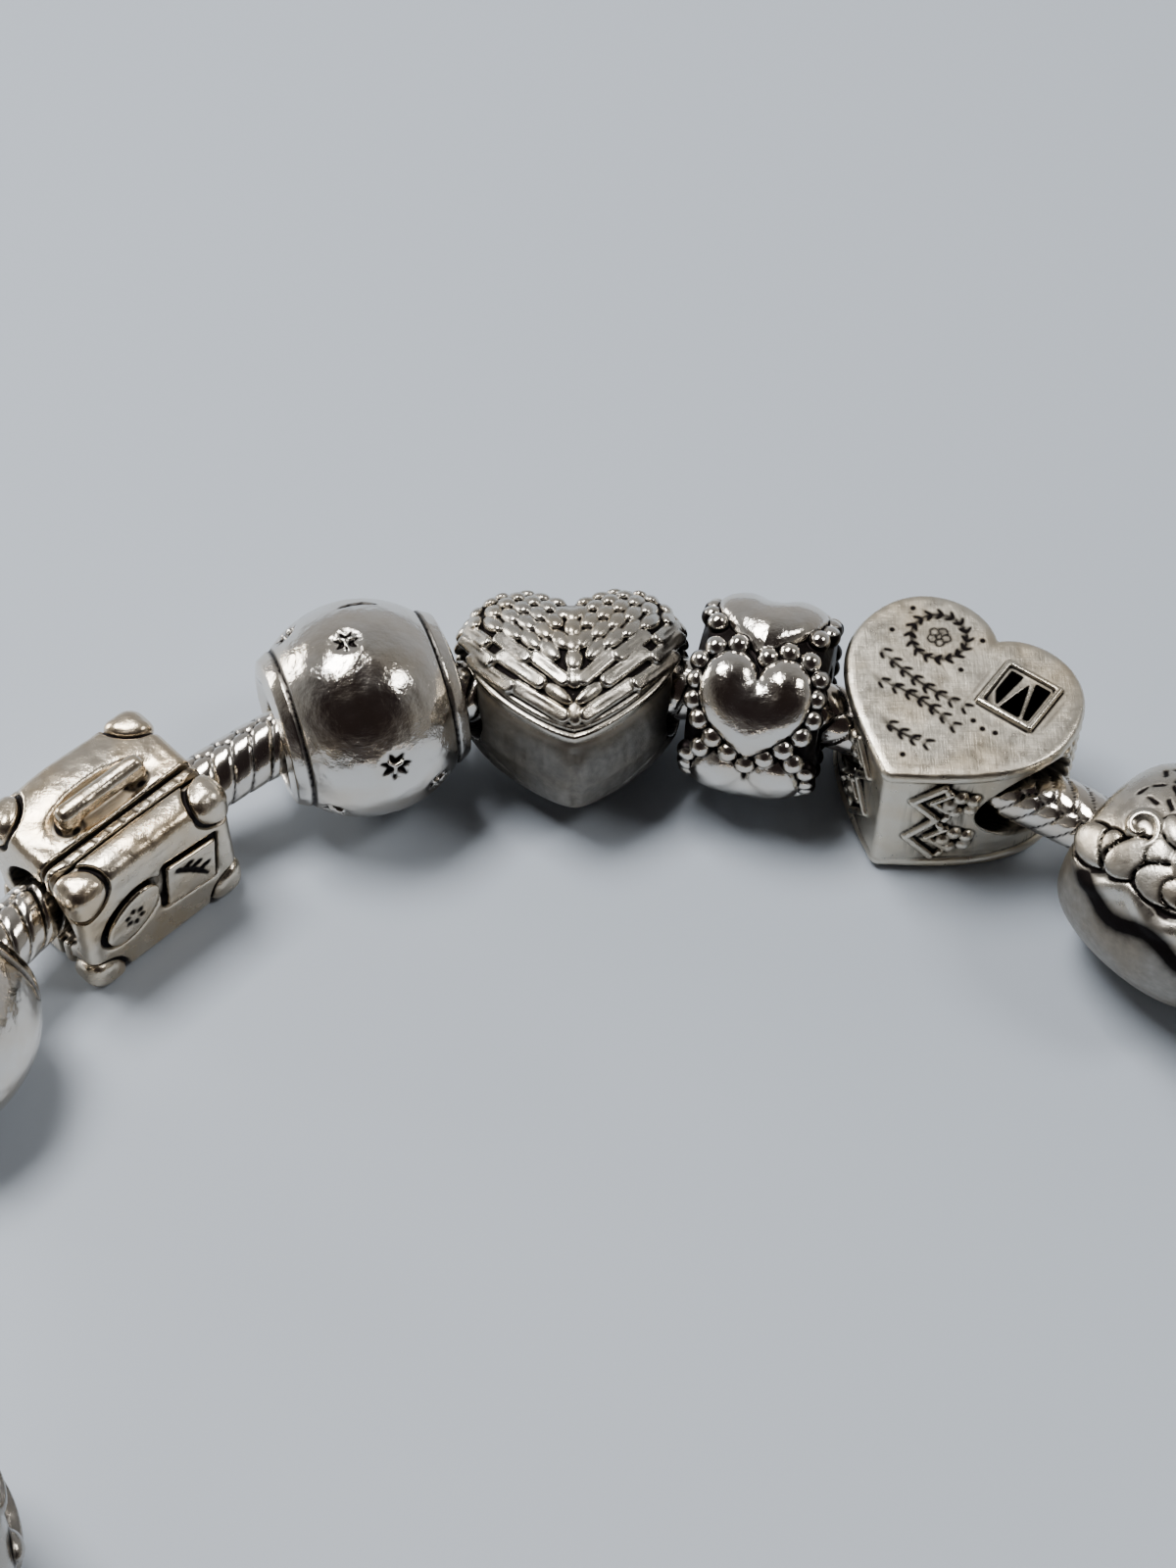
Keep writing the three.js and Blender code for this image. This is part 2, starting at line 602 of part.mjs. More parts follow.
function boreAlong(from, to) {
  const circle = ellipse(CHAIN_D + 2 * BORE_ROOM, CHAIN_D + 2 * BORE_ROOM, 12);
  const steps = Math.max(2, Math.round((to - from) / 5));
  return solid(new THREE.ExtrudeGeometry(circle, { extrudePath: new ChainPath(from, to), steps }));
}

const group = new THREE.Group();

function addPiece(name, manifold, look, matrix = new THREE.Matrix4()) {
  const mesh = new THREE.Mesh(geometryOf(manifold), new THREE.MeshStandardMaterial(look));
  mesh.name = name;
  mesh.applyMatrix4(matrix);
  group.add(mesh);
}

for (const charm of charms) {
  const matrix = charmMatrix(charm);
  const reach = charm.length / 2 + 2;
  const bore = boreAlong(charm.s - reach, charm.s + reach).transform(matrix.clone().invert().elements);
  addPiece(charm.name, charm.solid.subtract(bore), charm.look, matrix);
}

const claspMatrix = charmMatrix(clasp);
const socketFloor = CLASP_L / 2 - SOCKET_DEPTH;
const sockets = [[-CLASP_L / 2 - 2, -socketFloor], [socketFloor, CLASP_L / 2 + 2]].map(([from, to]) =>
  boreAlong(clasp.s + from, clasp.s + to).transform(claspMatrix.clone().invert().elements));
addPiece(clasp.name, clasp.solid.subtract(union(sockets)), clasp.look, claspMatrix);

// Chain: a straight rod, bent along its route, with ribbed links between the charms of the far
// side and a plain stretch from the last charms round to the clasp.
const chainEnd = LOOP_LENGTH / 2 - socketFloor - SEAT_GAP;
const hidden = charms.map((charm) => [charm.s - charm.length / 2 + CHAIN_D / 8,
  charm.s + charm.length / 2 - CHAIN_D / 8]);
const [linksFrom, linksTo] = [charms[0].s, charms.at(-1).s].map((s) => s + Math.sign(s) * LINKS_PAST);
const chainR = CHAIN_D / 2;
const rod = [new THREE.Vector2(0, -chainEnd), new THREE.Vector2(chainR - SEAM_DEPTH, -chainEnd)];
const links = Math.round(2 * chainEnd / LINK_PITCH);
const pitch = 2 * chainEnd / links;
for (let i = 0; i < links; i++) {
  const s = -chainEnd + (i + 0.5) * pitch;
  const plain = s < linksFrom || s > linksTo || hidden.some(([from, to]) => s > from && s < to);
  if (plain && i % 4) continue;
  rod.push(new THREE.Vector2(chainR, s));
  if (!plain) rod.push(new THREE.Vector2(chainR - SEAM_DEPTH, s + pitch / 2));
}
rod.push(new THREE.Vector2(0, chainEnd));
const chain = new THREE.LatheGeometry(rod, CHAIN_SIDES);
chain.deleteAttribute('normal');
chain.deleteAttribute('uv');
const chainSkin = mergeVertices(chain, 1e-4);
const places = chainSkin.attributes.position;
for (let i = 0; i < places.count; i++) {
  const [across, s, lift] = [places.getX(i), places.getY(i), places.getZ(i)];
  const heading = planHeading(s);
  const centre = chainPoint(s);
  places.setXYZ(i, centre.x + across * Math.sin(heading), centre.y - across * Math.cos(heading),
    centre.z + lift);
}
addPiece('snake_chain', solid(chainSkin), BRIGHT);

// The origin is the middle of the bracelet's footprint, on the table.
const footprint = new THREE.Box3().setFromObject(group, true).getCenter(new THREE.Vector3());
group.position.set(-footprint.x, -footprint.y, 0);

export default group;
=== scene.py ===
from math import atan2, cos, hypot, pi, radians, sin, sqrt, tau

import bpy
import numpy as np
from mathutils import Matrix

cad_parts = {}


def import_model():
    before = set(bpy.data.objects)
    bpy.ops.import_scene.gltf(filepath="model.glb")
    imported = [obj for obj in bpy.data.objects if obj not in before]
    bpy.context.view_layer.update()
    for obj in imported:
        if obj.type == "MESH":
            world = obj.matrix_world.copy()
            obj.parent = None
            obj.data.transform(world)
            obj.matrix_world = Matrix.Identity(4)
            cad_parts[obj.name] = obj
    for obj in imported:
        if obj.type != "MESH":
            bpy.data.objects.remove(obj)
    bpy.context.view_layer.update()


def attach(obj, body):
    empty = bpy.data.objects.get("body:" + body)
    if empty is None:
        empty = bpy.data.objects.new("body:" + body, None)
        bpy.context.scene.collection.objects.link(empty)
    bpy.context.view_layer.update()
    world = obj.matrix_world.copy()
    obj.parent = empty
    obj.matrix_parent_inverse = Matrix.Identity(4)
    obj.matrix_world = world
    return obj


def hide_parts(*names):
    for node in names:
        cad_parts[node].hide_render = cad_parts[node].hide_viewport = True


# A charm bracelet lying on a pale table. Each charm is modelled as a distance field in its own
# frame, in millimetres: X along the bore, Y away from the loop's middle, Z up.

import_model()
MM = 0.001

# ---- sizes, as in the part's source
LEFT_REACH, RIGHT_REACH, FAR_REACH, NEAR_REACH = 31.8, 35.0, 31.8, 27.5
SHIFT = np.array([-0.8309, -2.1663, 0.0])
CHAIN_D, BORE_D, SOCKET_FLOOR, SEAT_GAP = 3.0, 4.6, 3.0, 0.3
CHARMS = {
    # name: place along the chain, height of the bore, turn in degrees, length
    "dotted_spacer": (-69.95, 4.624, 0, 3.4),
    "petal_bead": (-62.55, 6.20, 0, 9.4),
    "round_bead": (-37.15, 4.636, 0, 8.4),
    "suitcase_charm": (-24.65, 3.856, 0, 9.4),
    "star_ball_charm": (-11.05, 5.263, 0, 9.0),
    "winged_heart_charm": (-0.75, 4.30, 0, 10.9),
    "beaded_hearts_spacer": (8.45, 4.859, 0, 6.8),
    "heart_box_charm": (17.15, 3.95, -10.5, 9.9),
    "leaf_relief_charm": (30.8, 5.10, 0, 8.8),
    "barrel_clasp": (99.17, 4.30, 0, 13.0),
}

# ---- route of the chain
turn_t = np.linspace(0, 2 * pi, 14401)
route_x = np.where(np.sin(turn_t) > 0, RIGHT_REACH, LEFT_REACH) * np.sin(turn_t)
route_y = np.where(np.cos(turn_t) > 0, FAR_REACH, NEAR_REACH) * np.cos(turn_t)
route_s = np.concatenate([[0], np.cumsum(np.hypot(np.diff(route_x), np.diff(route_y)))])
LOOP = route_s[-1]


def plan(s):
    s = np.mod(s, LOOP)
    return np.interp(s, route_s, route_x), np.interp(s, route_s, route_y)


def heading(s):
    (x0, y0), (x1, y1) = plan(np.asarray(s) - 0.05), plan(np.asarray(s) + 0.05)
    return np.arctan2(y1 - y0, x1 - x0)


knots = sorted((place, rise) for place, rise, _, _ in CHARMS.values())
knots = [(knots[-1][0] - LOOP, knots[-1][1])] + knots


def height(s):
    s = np.asarray(s, float)
    s = s - LOOP * np.round(s / LOOP)
    places = np.array([k[0] for k in knots])
    rises = np.array([k[1] for k in knots])
    i = np.clip(np.searchsorted(places, s), 1, len(places) - 1)
    mix = (1 - np.cos(np.pi * (s - places[i - 1]) / (places[i] - places[i - 1]))) / 2
    return rises[i - 1] + (rises[i] - rises[i - 1]) * mix


def route(s):
    x, y = plan(s)
    return np.stack([x, y, height(s)], -1)


# ---- placing
def at(x, y, z):
    m = np.eye(4)
    m[:3, 3] = x, y, z
    return m


def spin(axis, angle):
    m = np.eye(4)
    a, b = {"x": (1, 2), "y": (2, 0), "z": (0, 1)}[axis]
    c, s = cos(angle), sin(angle)
    m[a, a], m[a, b], m[b, a], m[b, b] = c, -s, s, c
    return m


def move(*parts):
    m = np.eye(4)
    for part in parts:
        m = m @ part
    return m


def round_bore(turn, x, out):
    """A place out from the bore, with Z away from it."""
    return move(spin("x", turn), at(x, 0, out))


def charm_matrix(name):
    s, _, yaw, _ = CHARMS[name]
    return move(at(*route(s)), spin("z", float(heading(s)) + radians(yaw)))


def add_object(name, data):
    piece = bpy.data.objects.new(name, data)
    bpy.context.scene.collection.objects.link(piece)
    return piece


# ---- shapes: signed distances
def ball(r):
    return lambda x, y, z: np.sqrt(x * x + y * y + z * z) - r


def egg(a, b, c):
    def shape(x, y, z):
        k0 = np.sqrt((x / a) ** 2 + (y / b) ** 2 + (z / c) ** 2)
        k1 = np.sqrt((x / a ** 2) ** 2 + (y / b ** 2) ** 2 + (z / c ** 2) ** 2) + 1e-6
        return k0 * (k0 - 1) / k1
    return shape


def rod(length, r):
    return lambda x, y, z: np.sqrt((x - np.clip(x, -length / 2, length / 2)) ** 2 + y * y + z * z) - r


def rounded(a, b, r):
    """Where two distances meet, with an edge of radius r."""
    a, b = a + r, b + r
    return np.sqrt(np.maximum(a, 0) ** 2 + np.maximum(b, 0) ** 2) + np.minimum(np.maximum(a, b), 0) - r


def brick(a, b, c, r=0.0):
    def shape(x, y, z):
        q = [np.abs(v) - s / 2 + r for v, s in ((x, a), (y, b), (z, c))]
        inside = np.minimum(np.maximum(np.maximum(q[0], q[1]), q[2]), 0)
        return np.sqrt(sum(np.maximum(v, 0) ** 2 for v in q)) + inside - r
    return shape


def prism(outline, thickness, r=0.0):
    """An outline's distance lifted along Z, with rounded edges."""
    return lambda x, y, z: rounded(outline(x, y), np.abs(z) - thickness / 2, r)


def turned(points):
    """A solid of revolution round X, from (x, radius) points."""
    points = np.array(points, float)
    outline = raster(np.concatenate([points, points[::-1] * (1, -1)]), 1.5)
    return lambda x, y, z: outline(x, np.sqrt(y * y + z * z))


def lookup(table, low, step):
    """Reads a table between its points."""
    def look(x, y):
        (i, a), (j, b) = ((k.astype(np.int32), k) for k in (
            np.clip((v - start) / step, 0, count - 1.001) for v, start, count in zip((x, y), low, table.shape)))
        a, b = (a - i).astype(np.float32), (b - j).astype(np.float32)
        return ((table[i, j] * (1 - a) + table[i + 1, j] * a) * (1 - b)
                + (table[i, j + 1] * (1 - a) + table[i + 1, j + 1] * a) * b)
    return look


def raster(points, pad, step=0.04):
    """The signed distance to a closed outline, looked up from a fine grid."""
    a = np.asarray(points, float)
    b = np.roll(a, -1, 0)
    low = a.min(0) - pad
    count = np.ceil((a.max(0) + pad - low) / step).astype(int) + 1
    gx = (low[0] + step * np.arange(count[0]))[:, None]
    gy = (low[1] + step * np.arange(count[1]))[None, :]
    best = np.full(count, 1e9)
    inside = np.zeros(count, bool)
    for (x0, y0), (x1, y1) in zip(a, b):
        dx, dy = x1 - x0, y1 - y0
        t = np.clip(((gx - x0) * dx + (gy - y0) * dy) / (dx * dx + dy * dy + 1e-12), 0, 1)
        best = np.minimum(best, (gx - x0 - t * dx) ** 2 + (gy - y0 - t * dy) ** 2)
        if y0 != y1:
            crosses = ((y0 > gy) != (y1 > gy)) & (gx < dx * (gy - y0) / dy + x0)
            inside ^= crosses
    return lookup((np.sqrt(best) * np.where(inside, -1, 1)).astype(np.float32), low, step)


def bezier(p, steps):
    t = np.linspace(0, 1, steps, endpoint=False)[:, None]
    p = np.array(p, float)
    return ((1 - t) ** 3 * p[0] + 3 * (1 - t) ** 2 * t * p[1] + 3 * (1 - t) * t * t * p[2] + t ** 3 * p[3])


def heart(width, tall, cleft_depth, steps=24):
    w, tip, top = width / 2, -tall / 2, tall / 2
    cleft, widest = top - cleft_depth, tip + tall * 0.64
    pull = (top - (widest + cleft) / 8) / 0.75
    right = [bezier([(0, tip), (0.34 * w, tip + tall * 0.13), (w, widest - tall * 0.3), (w, widest)], steps),
             bezier([(w, widest), (w, pull), (w * 0.14, pull), (0, cleft)], steps), np.array([(0, cleft)])]
    right = np.concatenate(right)
    return np.concatenate([right, right[-2:0:-1] * (-1, 1)])


def feather(length, wide, thick):
    """A flat strip with round ends and soft edges."""
    edge = 0.17
    return lambda x, y, z: rounded(np.sqrt(np.maximum(np.abs(x) - length / 2 + wide, 0) ** 2 + y * y) - wide,
                                   np.abs(z) - thick, edge)


def star(r, inner, points):
    a = np.arange(points * 2) * pi / points
    size = np.where(np.arange(points * 2) % 2, r * inner, r)
    return np.stack([size * np.cos(a), size * np.sin(a)], -1)


def oval(a, b, count=60, x=0, y=0):
    """Points round an ellipse, the last one on the first."""
    t = np.linspace(0, tau, count)
    return np.stack([x + a * np.cos(t), y + b * np.sin(t)], -1)


def loop_of(x, r, count=60):
    """A circle round the bore, as points."""
    return np.column_stack([np.full(count, x), oval(r, r, count)])


def inflated(outline, half, span=7.2, step=0.12, power=0.36, load=0.02, rounds=2600):
    """Half the thickness of a cushion-like body over an outline, as a loaded skin takes it."""
    n = int(2 * span / step) + 1
    line = np.linspace(-span, span, n)
    inside = outline(line[:, None], line[None, :]) < 0
    u = inside.astype(float)
    for _ in range(rounds):
        u[1:-1, 1:-1] = inside[1:-1, 1:-1] * (u[2:, 1:-1] + u[:-2, 1:-1] + u[1:-1, 2:] + u[1:-1, :-2] + load) / 4
    return lookup((half * (u / u.max()) ** power).astype(np.float32), (-span, -span), step)


def spaced(points, pitch):
    """Points at an even pitch along a closed outline."""
    closed = np.concatenate([points, points[:1]])
    run = np.concatenate([[0], np.cumsum(np.hypot(*np.diff(closed, axis=0).T))])
    count = int(run[-1] / pitch)
    t = np.arange(count) * run[-1] / count
    return np.stack([np.interp(t, run, closed[:, 0]), np.interp(t, run, closed[:, 1])], -1)


# ---- clay: a field that shapes go into
class Clay:
    def __init__(self, half, step):
        self.step = step
        half = np.asarray(half, float)
        self.low = -half - 3 * step
        self.count = np.ceil(2 * (half + 3 * step) / step).astype(int) + 1
        self.field = np.full(self.count, 5.0, np.float32)
        # Dark marks on the metal: tarnish in engraved lines and beds, and painted shade inside holes.
        self.ink = np.zeros(self.count, np.float32)
        self.stain_and_shade = []

    def part(self, low, high):
        a = np.clip(np.floor((low - self.low) / self.step).astype(int), 0, self.count)
        b = np.clip(np.ceil((high - self.low) / self.step).astype(int) + 1, 0, self.count)
        where = tuple(slice(i, j) for i, j in zip(a, b))
        axes = [(self.low[i] + self.step * np.arange(a[i], b[i])).astype(np.float32) for i in range(3)]
        return where, np.meshgrid(*axes, indexing="ij", sparse=True)

    def blend(self, where, d, cut, soft, ink):
        """Adds a shape's distances to the metal, or cuts them out, and darkens what they touch: tarnish in marks,
        painted shade inside holes.
        """
        f = self.field[where]
        if ink:
            self.ink[where] = np.maximum(self.ink[where], ink * np.clip(1.05 - d / self.step, 0, 1))
        elif not cut:
            self.ink[where] *= 1 - np.clip(1 - d / self.step, 0, 1)
        d = -d if cut else d
        ease = np.maximum(soft - np.abs(f - d), 0) ** 2 / (4 * soft) if soft else 0
        self.field[where] = np.maximum(f, d) + ease if cut else np.minimum(f, d) - ease

    def put(self, shape, place=None, reach=99.0, cut=False, soft=0.0, ink=0.0):
        place = np.eye(4) if place is None else place
        o, m = place[:3, 3], place[:3, :3].T
        where, (x, y, z) = self.part(o - reach, o + reach)
        if 0 in self.field[where].shape:
            return
        x, y, z = x - o[0], y - o[1], z - o[2]
        if not np.allclose(m, np.eye(3)):
            x, y, z = (m[i, 0] * x + m[i, 1] * y + m[i, 2] * z for i in range(3))
        self.blend(where, shape(x, y, z), cut, soft, ink)

    def cut(self, shape, *place, **how):
        self.put(shape, *place, cut=True, **how)

    def line(self, points, r, cut=False, soft=0.0, taper=False, ink=0.0):
        """A round cord through points, as one shape."""
        points = np.asarray(points, float)
        edge = r + 0.3 + soft
        where, (x, y, z) = self.part(points.min(0) - edge, points.max(0) + edge)
        best = np.full(self.field[where].shape, 9.0, np.float32)
        if 0 in best.shape:
            return
        n = len(points) - 1
        for i in range(n):
            a, ab = points[i], points[i + 1] - points[i]
            near, (u, v, w) = self.part(np.minimum(a, a + ab) - edge, np.maximum(a, a + ab) + edge)
            inner = tuple(slice(q.start - p.start, q.stop - p.start) for p, q in zip(where, near))
            u, v, w = u - a[0], v - a[1], w - a[2]
            t = np.clip((u * ab[0] + v * ab[1] + w * ab[2]) / (ab @ ab + 1e-9), 0, 1)
            k = (i + t) / n
            size = r * np.minimum(1, 0.3 + 2.8 * np.minimum(k, 1 - k)) if taper else r
            d = np.sqrt((u - t * ab[0]) ** 2 + (v - t * ab[1]) ** 2 + (w - t * ab[2]) ** 2) - size
            best[inner] = np.minimum(best[inner], d)
        self.blend(where, best, cut, soft, ink)

    def keep(self, shape):
        """Takes away all that lies outside a shape."""
        self.field = np.maximum(self.field, shape(*self.part(-np.full(3, 99.0), np.full(3, 99.0))[1]))

    def look(self, p, field=None):
        field = self.field if field is None else field
        u = np.clip((p - self.low) / self.step, 0, self.count - 1.001)
        i = u.astype(np.int32)
        f = (u - i).astype(np.float32)
        out = 0
        for corner in np.ndindex(2, 2, 2):
            share = 1
            for axis in range(3):
                share = share * (f[:, axis] if corner[axis] else 1 - f[:, axis])
            out = out + share * field[tuple((i + corner).T)]
        return out

    def slope(self, p, span=0.8):
        h = self.step * span
        g = np.stack([self.look(p + h * e) - self.look(p - h * e) for e in np.eye(3)], -1) / (2 * h)
        size = np.linalg.norm(g, axis=1, keepdims=True)
        return g / np.maximum(size, 1e-6), size[:, 0]

    def seat(self, start, toward, along=(1, 0, 0)):
        """The place where a ray meets the surface: Z out of it, X the way along."""
        start, toward = np.asarray(start, float), np.asarray(toward, float)
        toward = toward / np.linalg.norm(toward)
        t = np.arange(0, 16, self.step / 2)
        d = self.look(start + t[:, None] * toward)
        hit = np.nonzero(d < 0)[0]
        if not len(hit) or hit[0] == 0:
            return None
        i = hit[0]
        k = t[i - 1] + (t[i] - t[i - 1]) * d[i - 1] / (d[i - 1] - d[i])
        p = start + k * toward
        z = self.slope(p[None], 1.5)[0][0]
        x = np.asarray(along, float)
        x = x - z * (x @ z)
        x = x / np.linalg.norm(x)
        m = np.eye(4)
        m[:3, 0], m[:3, 1], m[:3, 2], m[:3, 3] = x, np.cross(z, x), z, p
        return m

    def mesh(self, name, place, budget, spread=(0.16, 0.45)):
        f = self.field
        inside = f < 0
        n = [c - 1 for c in f.shape]
        total = np.zeros(n, np.uint8)
        for c in np.ndindex(2, 2, 2):
            total += inside[tuple(slice(k, m + k) for k, m in zip(c, n))]
        cells = np.argwhere((total > 0) & (total < 8))
        number = np.full(n, -1, np.int32)
        number[tuple(cells.T)] = np.arange(len(cells))
        corner = {c: f[tuple((cells + c).T)] for c in np.ndindex(2, 2, 2)}
        spot, hits = np.zeros((len(cells), 3)), np.zeros(len(cells))
        for axis in range(3):
            for c in np.ndindex(2, 2, 2):
                if c[axis]:
                    continue
                other = tuple(1 if i == axis else c[i] for i in range(3))
                a, b = corner[c], corner[other]
                cross = (a < 0) != (b < 0)
                t = np.where(cross, a / np.where(cross, a - b, 1), 0)
                point = np.array(c, float)[None].repeat(len(cells), 0)
                point[:, axis] = t
                spot += point * cross[:, None]
                hits += cross
        verts = self.low + self.step * (cells + spot / hits[:, None])
        quads = []
        for axis in range(3):
            a, b = [i for i in range(3) if i != axis]
            e = np.argwhere(np.diff(inside, axis=axis))
            e = e[(e[:, a] > 0) & (e[:, b] > 0) & (e[:, a] < n[a]) & (e[:, b] < n[b])]
            turned_over = inside[tuple(e.T)] == (axis == 1)
            ring = []
            for da, db in ((-1, -1), (0, -1), (0, 0), (-1, 0)):
                c = e.copy()
                c[:, a] += da
                c[:, b] += db
                ring.append(number[tuple(c.T)])
            ring = np.stack(ring, -1)
            ring[turned_over] = ring[turned_over][:, ::-1]
            quads.append(ring)
        quads = np.concatenate(quads)
        for _ in range(2):
            g, size = self.slope(verts)
            d = self.look(verts) / np.maximum(size, 0.3)
            verts = verts - g * np.clip(d, -self.step, self.step)[:, None]
        # Open cells and hollows of the field, blurred at two scales, say where tarnish stays.
        mass = np.clip(0.5 - f / self.step, 0, 1).astype(np.float32)
        clouds = [blur(mass, max(1, round(s / self.step))) for s in spread]
        data = bpy.data.meshes.new(name)
        data.vertices.add(len(verts))
        data.vertices.foreach_set("co", verts.astype(np.float32).ravel())
        data.loops.add(quads.size)
        data.loops.foreach_set("vertex_index", quads.ravel().astype(np.int32))
        data.polygons.add(len(quads))
        data.polygons.foreach_set("loop_start", np.arange(0, quads.size, 4, dtype=np.int32))
        data.update(calc_edges=True)
        piece = add_object(name, data)
        if len(quads) * 2 > budget:
            thin = piece.modifiers.new("thin", "DECIMATE")
            thin.ratio = budget / (len(quads) * 2)
            whole = data
            data = bpy.data.meshes.new_from_object(piece.evaluated_get(bpy.context.evaluated_depsgraph_get()))
            piece.modifiers.clear()
            piece.data = data
            bpy.data.meshes.remove(whole)
            data.name = name
        co = np.empty(len(data.vertices) * 3, np.float32)
        data.vertices.foreach_get("co", co)
        co = co.reshape(-1, 3).astype(float)
        normals, _ = self.slope(co)
        fine, broad = (self.look(co, c) for c in clouds)
        patina_and_shade = np.clip((fine - 0.52) * 8, 0, 1) * 0.8 + np.clip((broad - 0.53) * 4.5, 0, 1) * 0.6
        # Ink marks add tarnish and the painted shade inside holes; the darkenings add painted darker lower parts
        # and a painted dark reflection.
        patina_and_shade = np.maximum(patina_and_shade, self.look(co, self.ink))
        for darkening in self.stain_and_shade:
            patina_and_shade = np.maximum(patina_and_shade, darkening(co))
        wear = np.clip((0.46 - fine) * 6, 0, 1)
        matrix = at(*SHIFT) @ place
        world = (co @ matrix[:3, :3].T + matrix[:3, 3]) * MM
        normals = normals @ matrix[:3, :3].T
        data.vertices.foreach_set("co", world.astype(np.float32).ravel())
        finish(data, patina_and_shade, wear)
        data.update()
        data.normals_split_custom_set_from_vertices(normals.tolist())
        return piece


def blur(mass, r):
    """The mean over r cells to each side, along each axis in turn."""
    for axis in range(3):
        run = np.insert(np.cumsum(mass, axis=axis, dtype=np.float32), 0, 0, axis=axis)
        i = np.arange(mass.shape[axis])
        upto, before = (np.take(run, k, axis=axis) for k in (np.minimum(i + r + 1, len(i)), np.maximum(i - r, 0)))
        mass = (upto - before) / (2 * r + 1)
    return mass


def finish(data, patina_and_shade, wear):
    for name, values in (("patina_and_shade", np.clip(patina_and_shade, 0, 1)), ("wear", wear)):
        layer = data.attributes.new(name, "FLOAT", "POINT")
        layer.data.foreach_set("value", np.ascontiguousarray(values, np.float32))
    data.polygons.foreach_set("use_smooth", np.ones(len(data.polygons), bool))


def dress(piece, node, material):
    piece.data.materials.append(material)
    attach(piece, "root")
    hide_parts(node)


# ---- materials
def fill_ramp(node, *stops):
    e = node.color_ramp.elements
    while len(e) < len(stops):
        e.new(0.5)
    for item, (position, colour) in zip(e, stops):
        item.position, item.color = position, (*np.broadcast_to(colour, 3), 1)


def silver(name, tone, rough, dent, scratch, cloud):
    material = bpy.data.materials.new(name)
    material.use_nodes = True
    nodes, links = material.node_tree.nodes, material.node_tree.links
    nodes.clear()
    new = nodes.new
    out, shader = new("ShaderNodeOutputMaterial"), new("ShaderNodeBsdfPrincipled")
    links.new(shader.outputs[0], out.inputs[0])
    shader.inputs["Metallic"].default_value = 1.0
    where = new("ShaderNodeTexCoord").outputs["Object"]

    def noise(scale, detail=3.0, stretch=None):
        tex = new("ShaderNodeTexNoise")
        tex.inputs["Scale"].default_value = scale
        tex.inputs["Detail"].default_value = detail
        if stretch:
            map_ = new("ShaderNodeMapping")
            map_.inputs["Scale"].default_value = stretch[0]
            map_.inputs["Rotation"].default_value = stretch[1]
            links.new(where, map_.inputs["Vector"])
            links.new(map_.outputs[0], tex.inputs["Vector"])
        else:
            links.new(where, tex.inputs["Vector"])
        return tex.outputs[0]

    def ramp(source, *stops):
        node = new("ShaderNodeValToRGB")
        fill_ramp(node, *stops)
        links.new(source, node.inputs[0])
        return node.outputs[0]

    def mix(a, b, fac, kind="MIX"):
        node = new("ShaderNodeMix")
        node.data_type = "RGBA"
        node.blend_type = kind
        for socket, value in ((node.inputs[0], fac), (node.inputs[6], a), (node.inputs[7], b)):
            if isinstance(value, (int, float)):
                socket.default_value = value
            elif isinstance(value, tuple):
                socket.default_value = (*value, 1)
            else:
                links.new(value, socket)
        return node.outputs[2]

    def grey(v):
        return (v, v, v)

    patina_and_shade, wear = new("ShaderNodeAttribute"), new("ShaderNodeAttribute")
    patina_and_shade.attribute_name, wear.attribute_name = "patina_and_shade", "wear"
    # Tarnish: a slow warm cloud over the metal, and black where hollows keep it, where shade is painted into holes,
    # and on the painted darker parts.
    warm = tuple(t * w for t, w in zip(tone, (0.90, 0.80, 0.66)))
    clouds = ramp(noise(420, 4), (0.42, 0), (0.68, 1))
    colour = mix(tone, warm, ramp(clouds, (0.0, 0), (1.0, cloud)))
    speckle = noise(2600, 2)
    hollow_and_shade = mix(patina_and_shade.outputs["Fac"], speckle, 0.22, "OVERLAY")
    shade = ramp(hollow_and_shade, (0.06, 0), (0.40, 0.55), (0.78, 1))
    colour = mix(colour, (0.010, 0.008, 0.008), shade)
    links.new(colour, shader.inputs["Base Color"])
    fine = noise(1500, 5)
    base = ramp(fine, (0.3, rough * 0.75), (0.7, rough * 1.3))
    base = mix(base, grey(min(0.75, rough + 0.35)), shade)
    base = mix(base, grey(rough * 0.6), wear.outputs["Fac"])
    links.new(base, shader.inputs["Roughness"])
    bump_out = None
    for tex, size in ((noise(330, 2), dent), (noise(1300, 4), dent * 0.32),
                      (noise(900, 3, ((1, 14, 14), (0.3, 0.5, 0.6))), scratch),
                      (noise(900, 3, ((14, 1, 14), (0.9, -0.4, 1.1))), scratch)):
        bump = new("ShaderNodeBump")
        bump.inputs["Strength"].default_value = 1.0
        bump.inputs["Distance"].default_value = size * MM
        links.new(tex, bump.inputs["Height"])
        if bump_out:
            links.new(bump_out, bump.inputs["Normal"])
        bump_out = bump.outputs[0]
    links.new(bump_out, shader.inputs["Normal"])
    return material


POLISHED = silver("silver polished", (0.78, 0.745, 0.69), 0.13, 0.20, 0.0035, 0.55)
CAST = silver("silver cast", (0.60, 0.565, 0.50), 0.27, 0.12, 0.006, 0.6)
WARM = silver("silver warm", (0.72, 0.64, 0.52), 0.24, 0.20, 0.006, 0.9)
SATIN = silver("silver satin", (0.70, 0.65, 0.55), 0.34, 0.10, 0.010, 0.7)
DARK = silver("silver dark", (0.40, 0.38, 0.35), 0.22, 0.08, 0.006, 0.5)
CHAIN = silver("silver chain", (0.76, 0.72, 0.66), 0.17, 0.02, 0.003, 0.6)


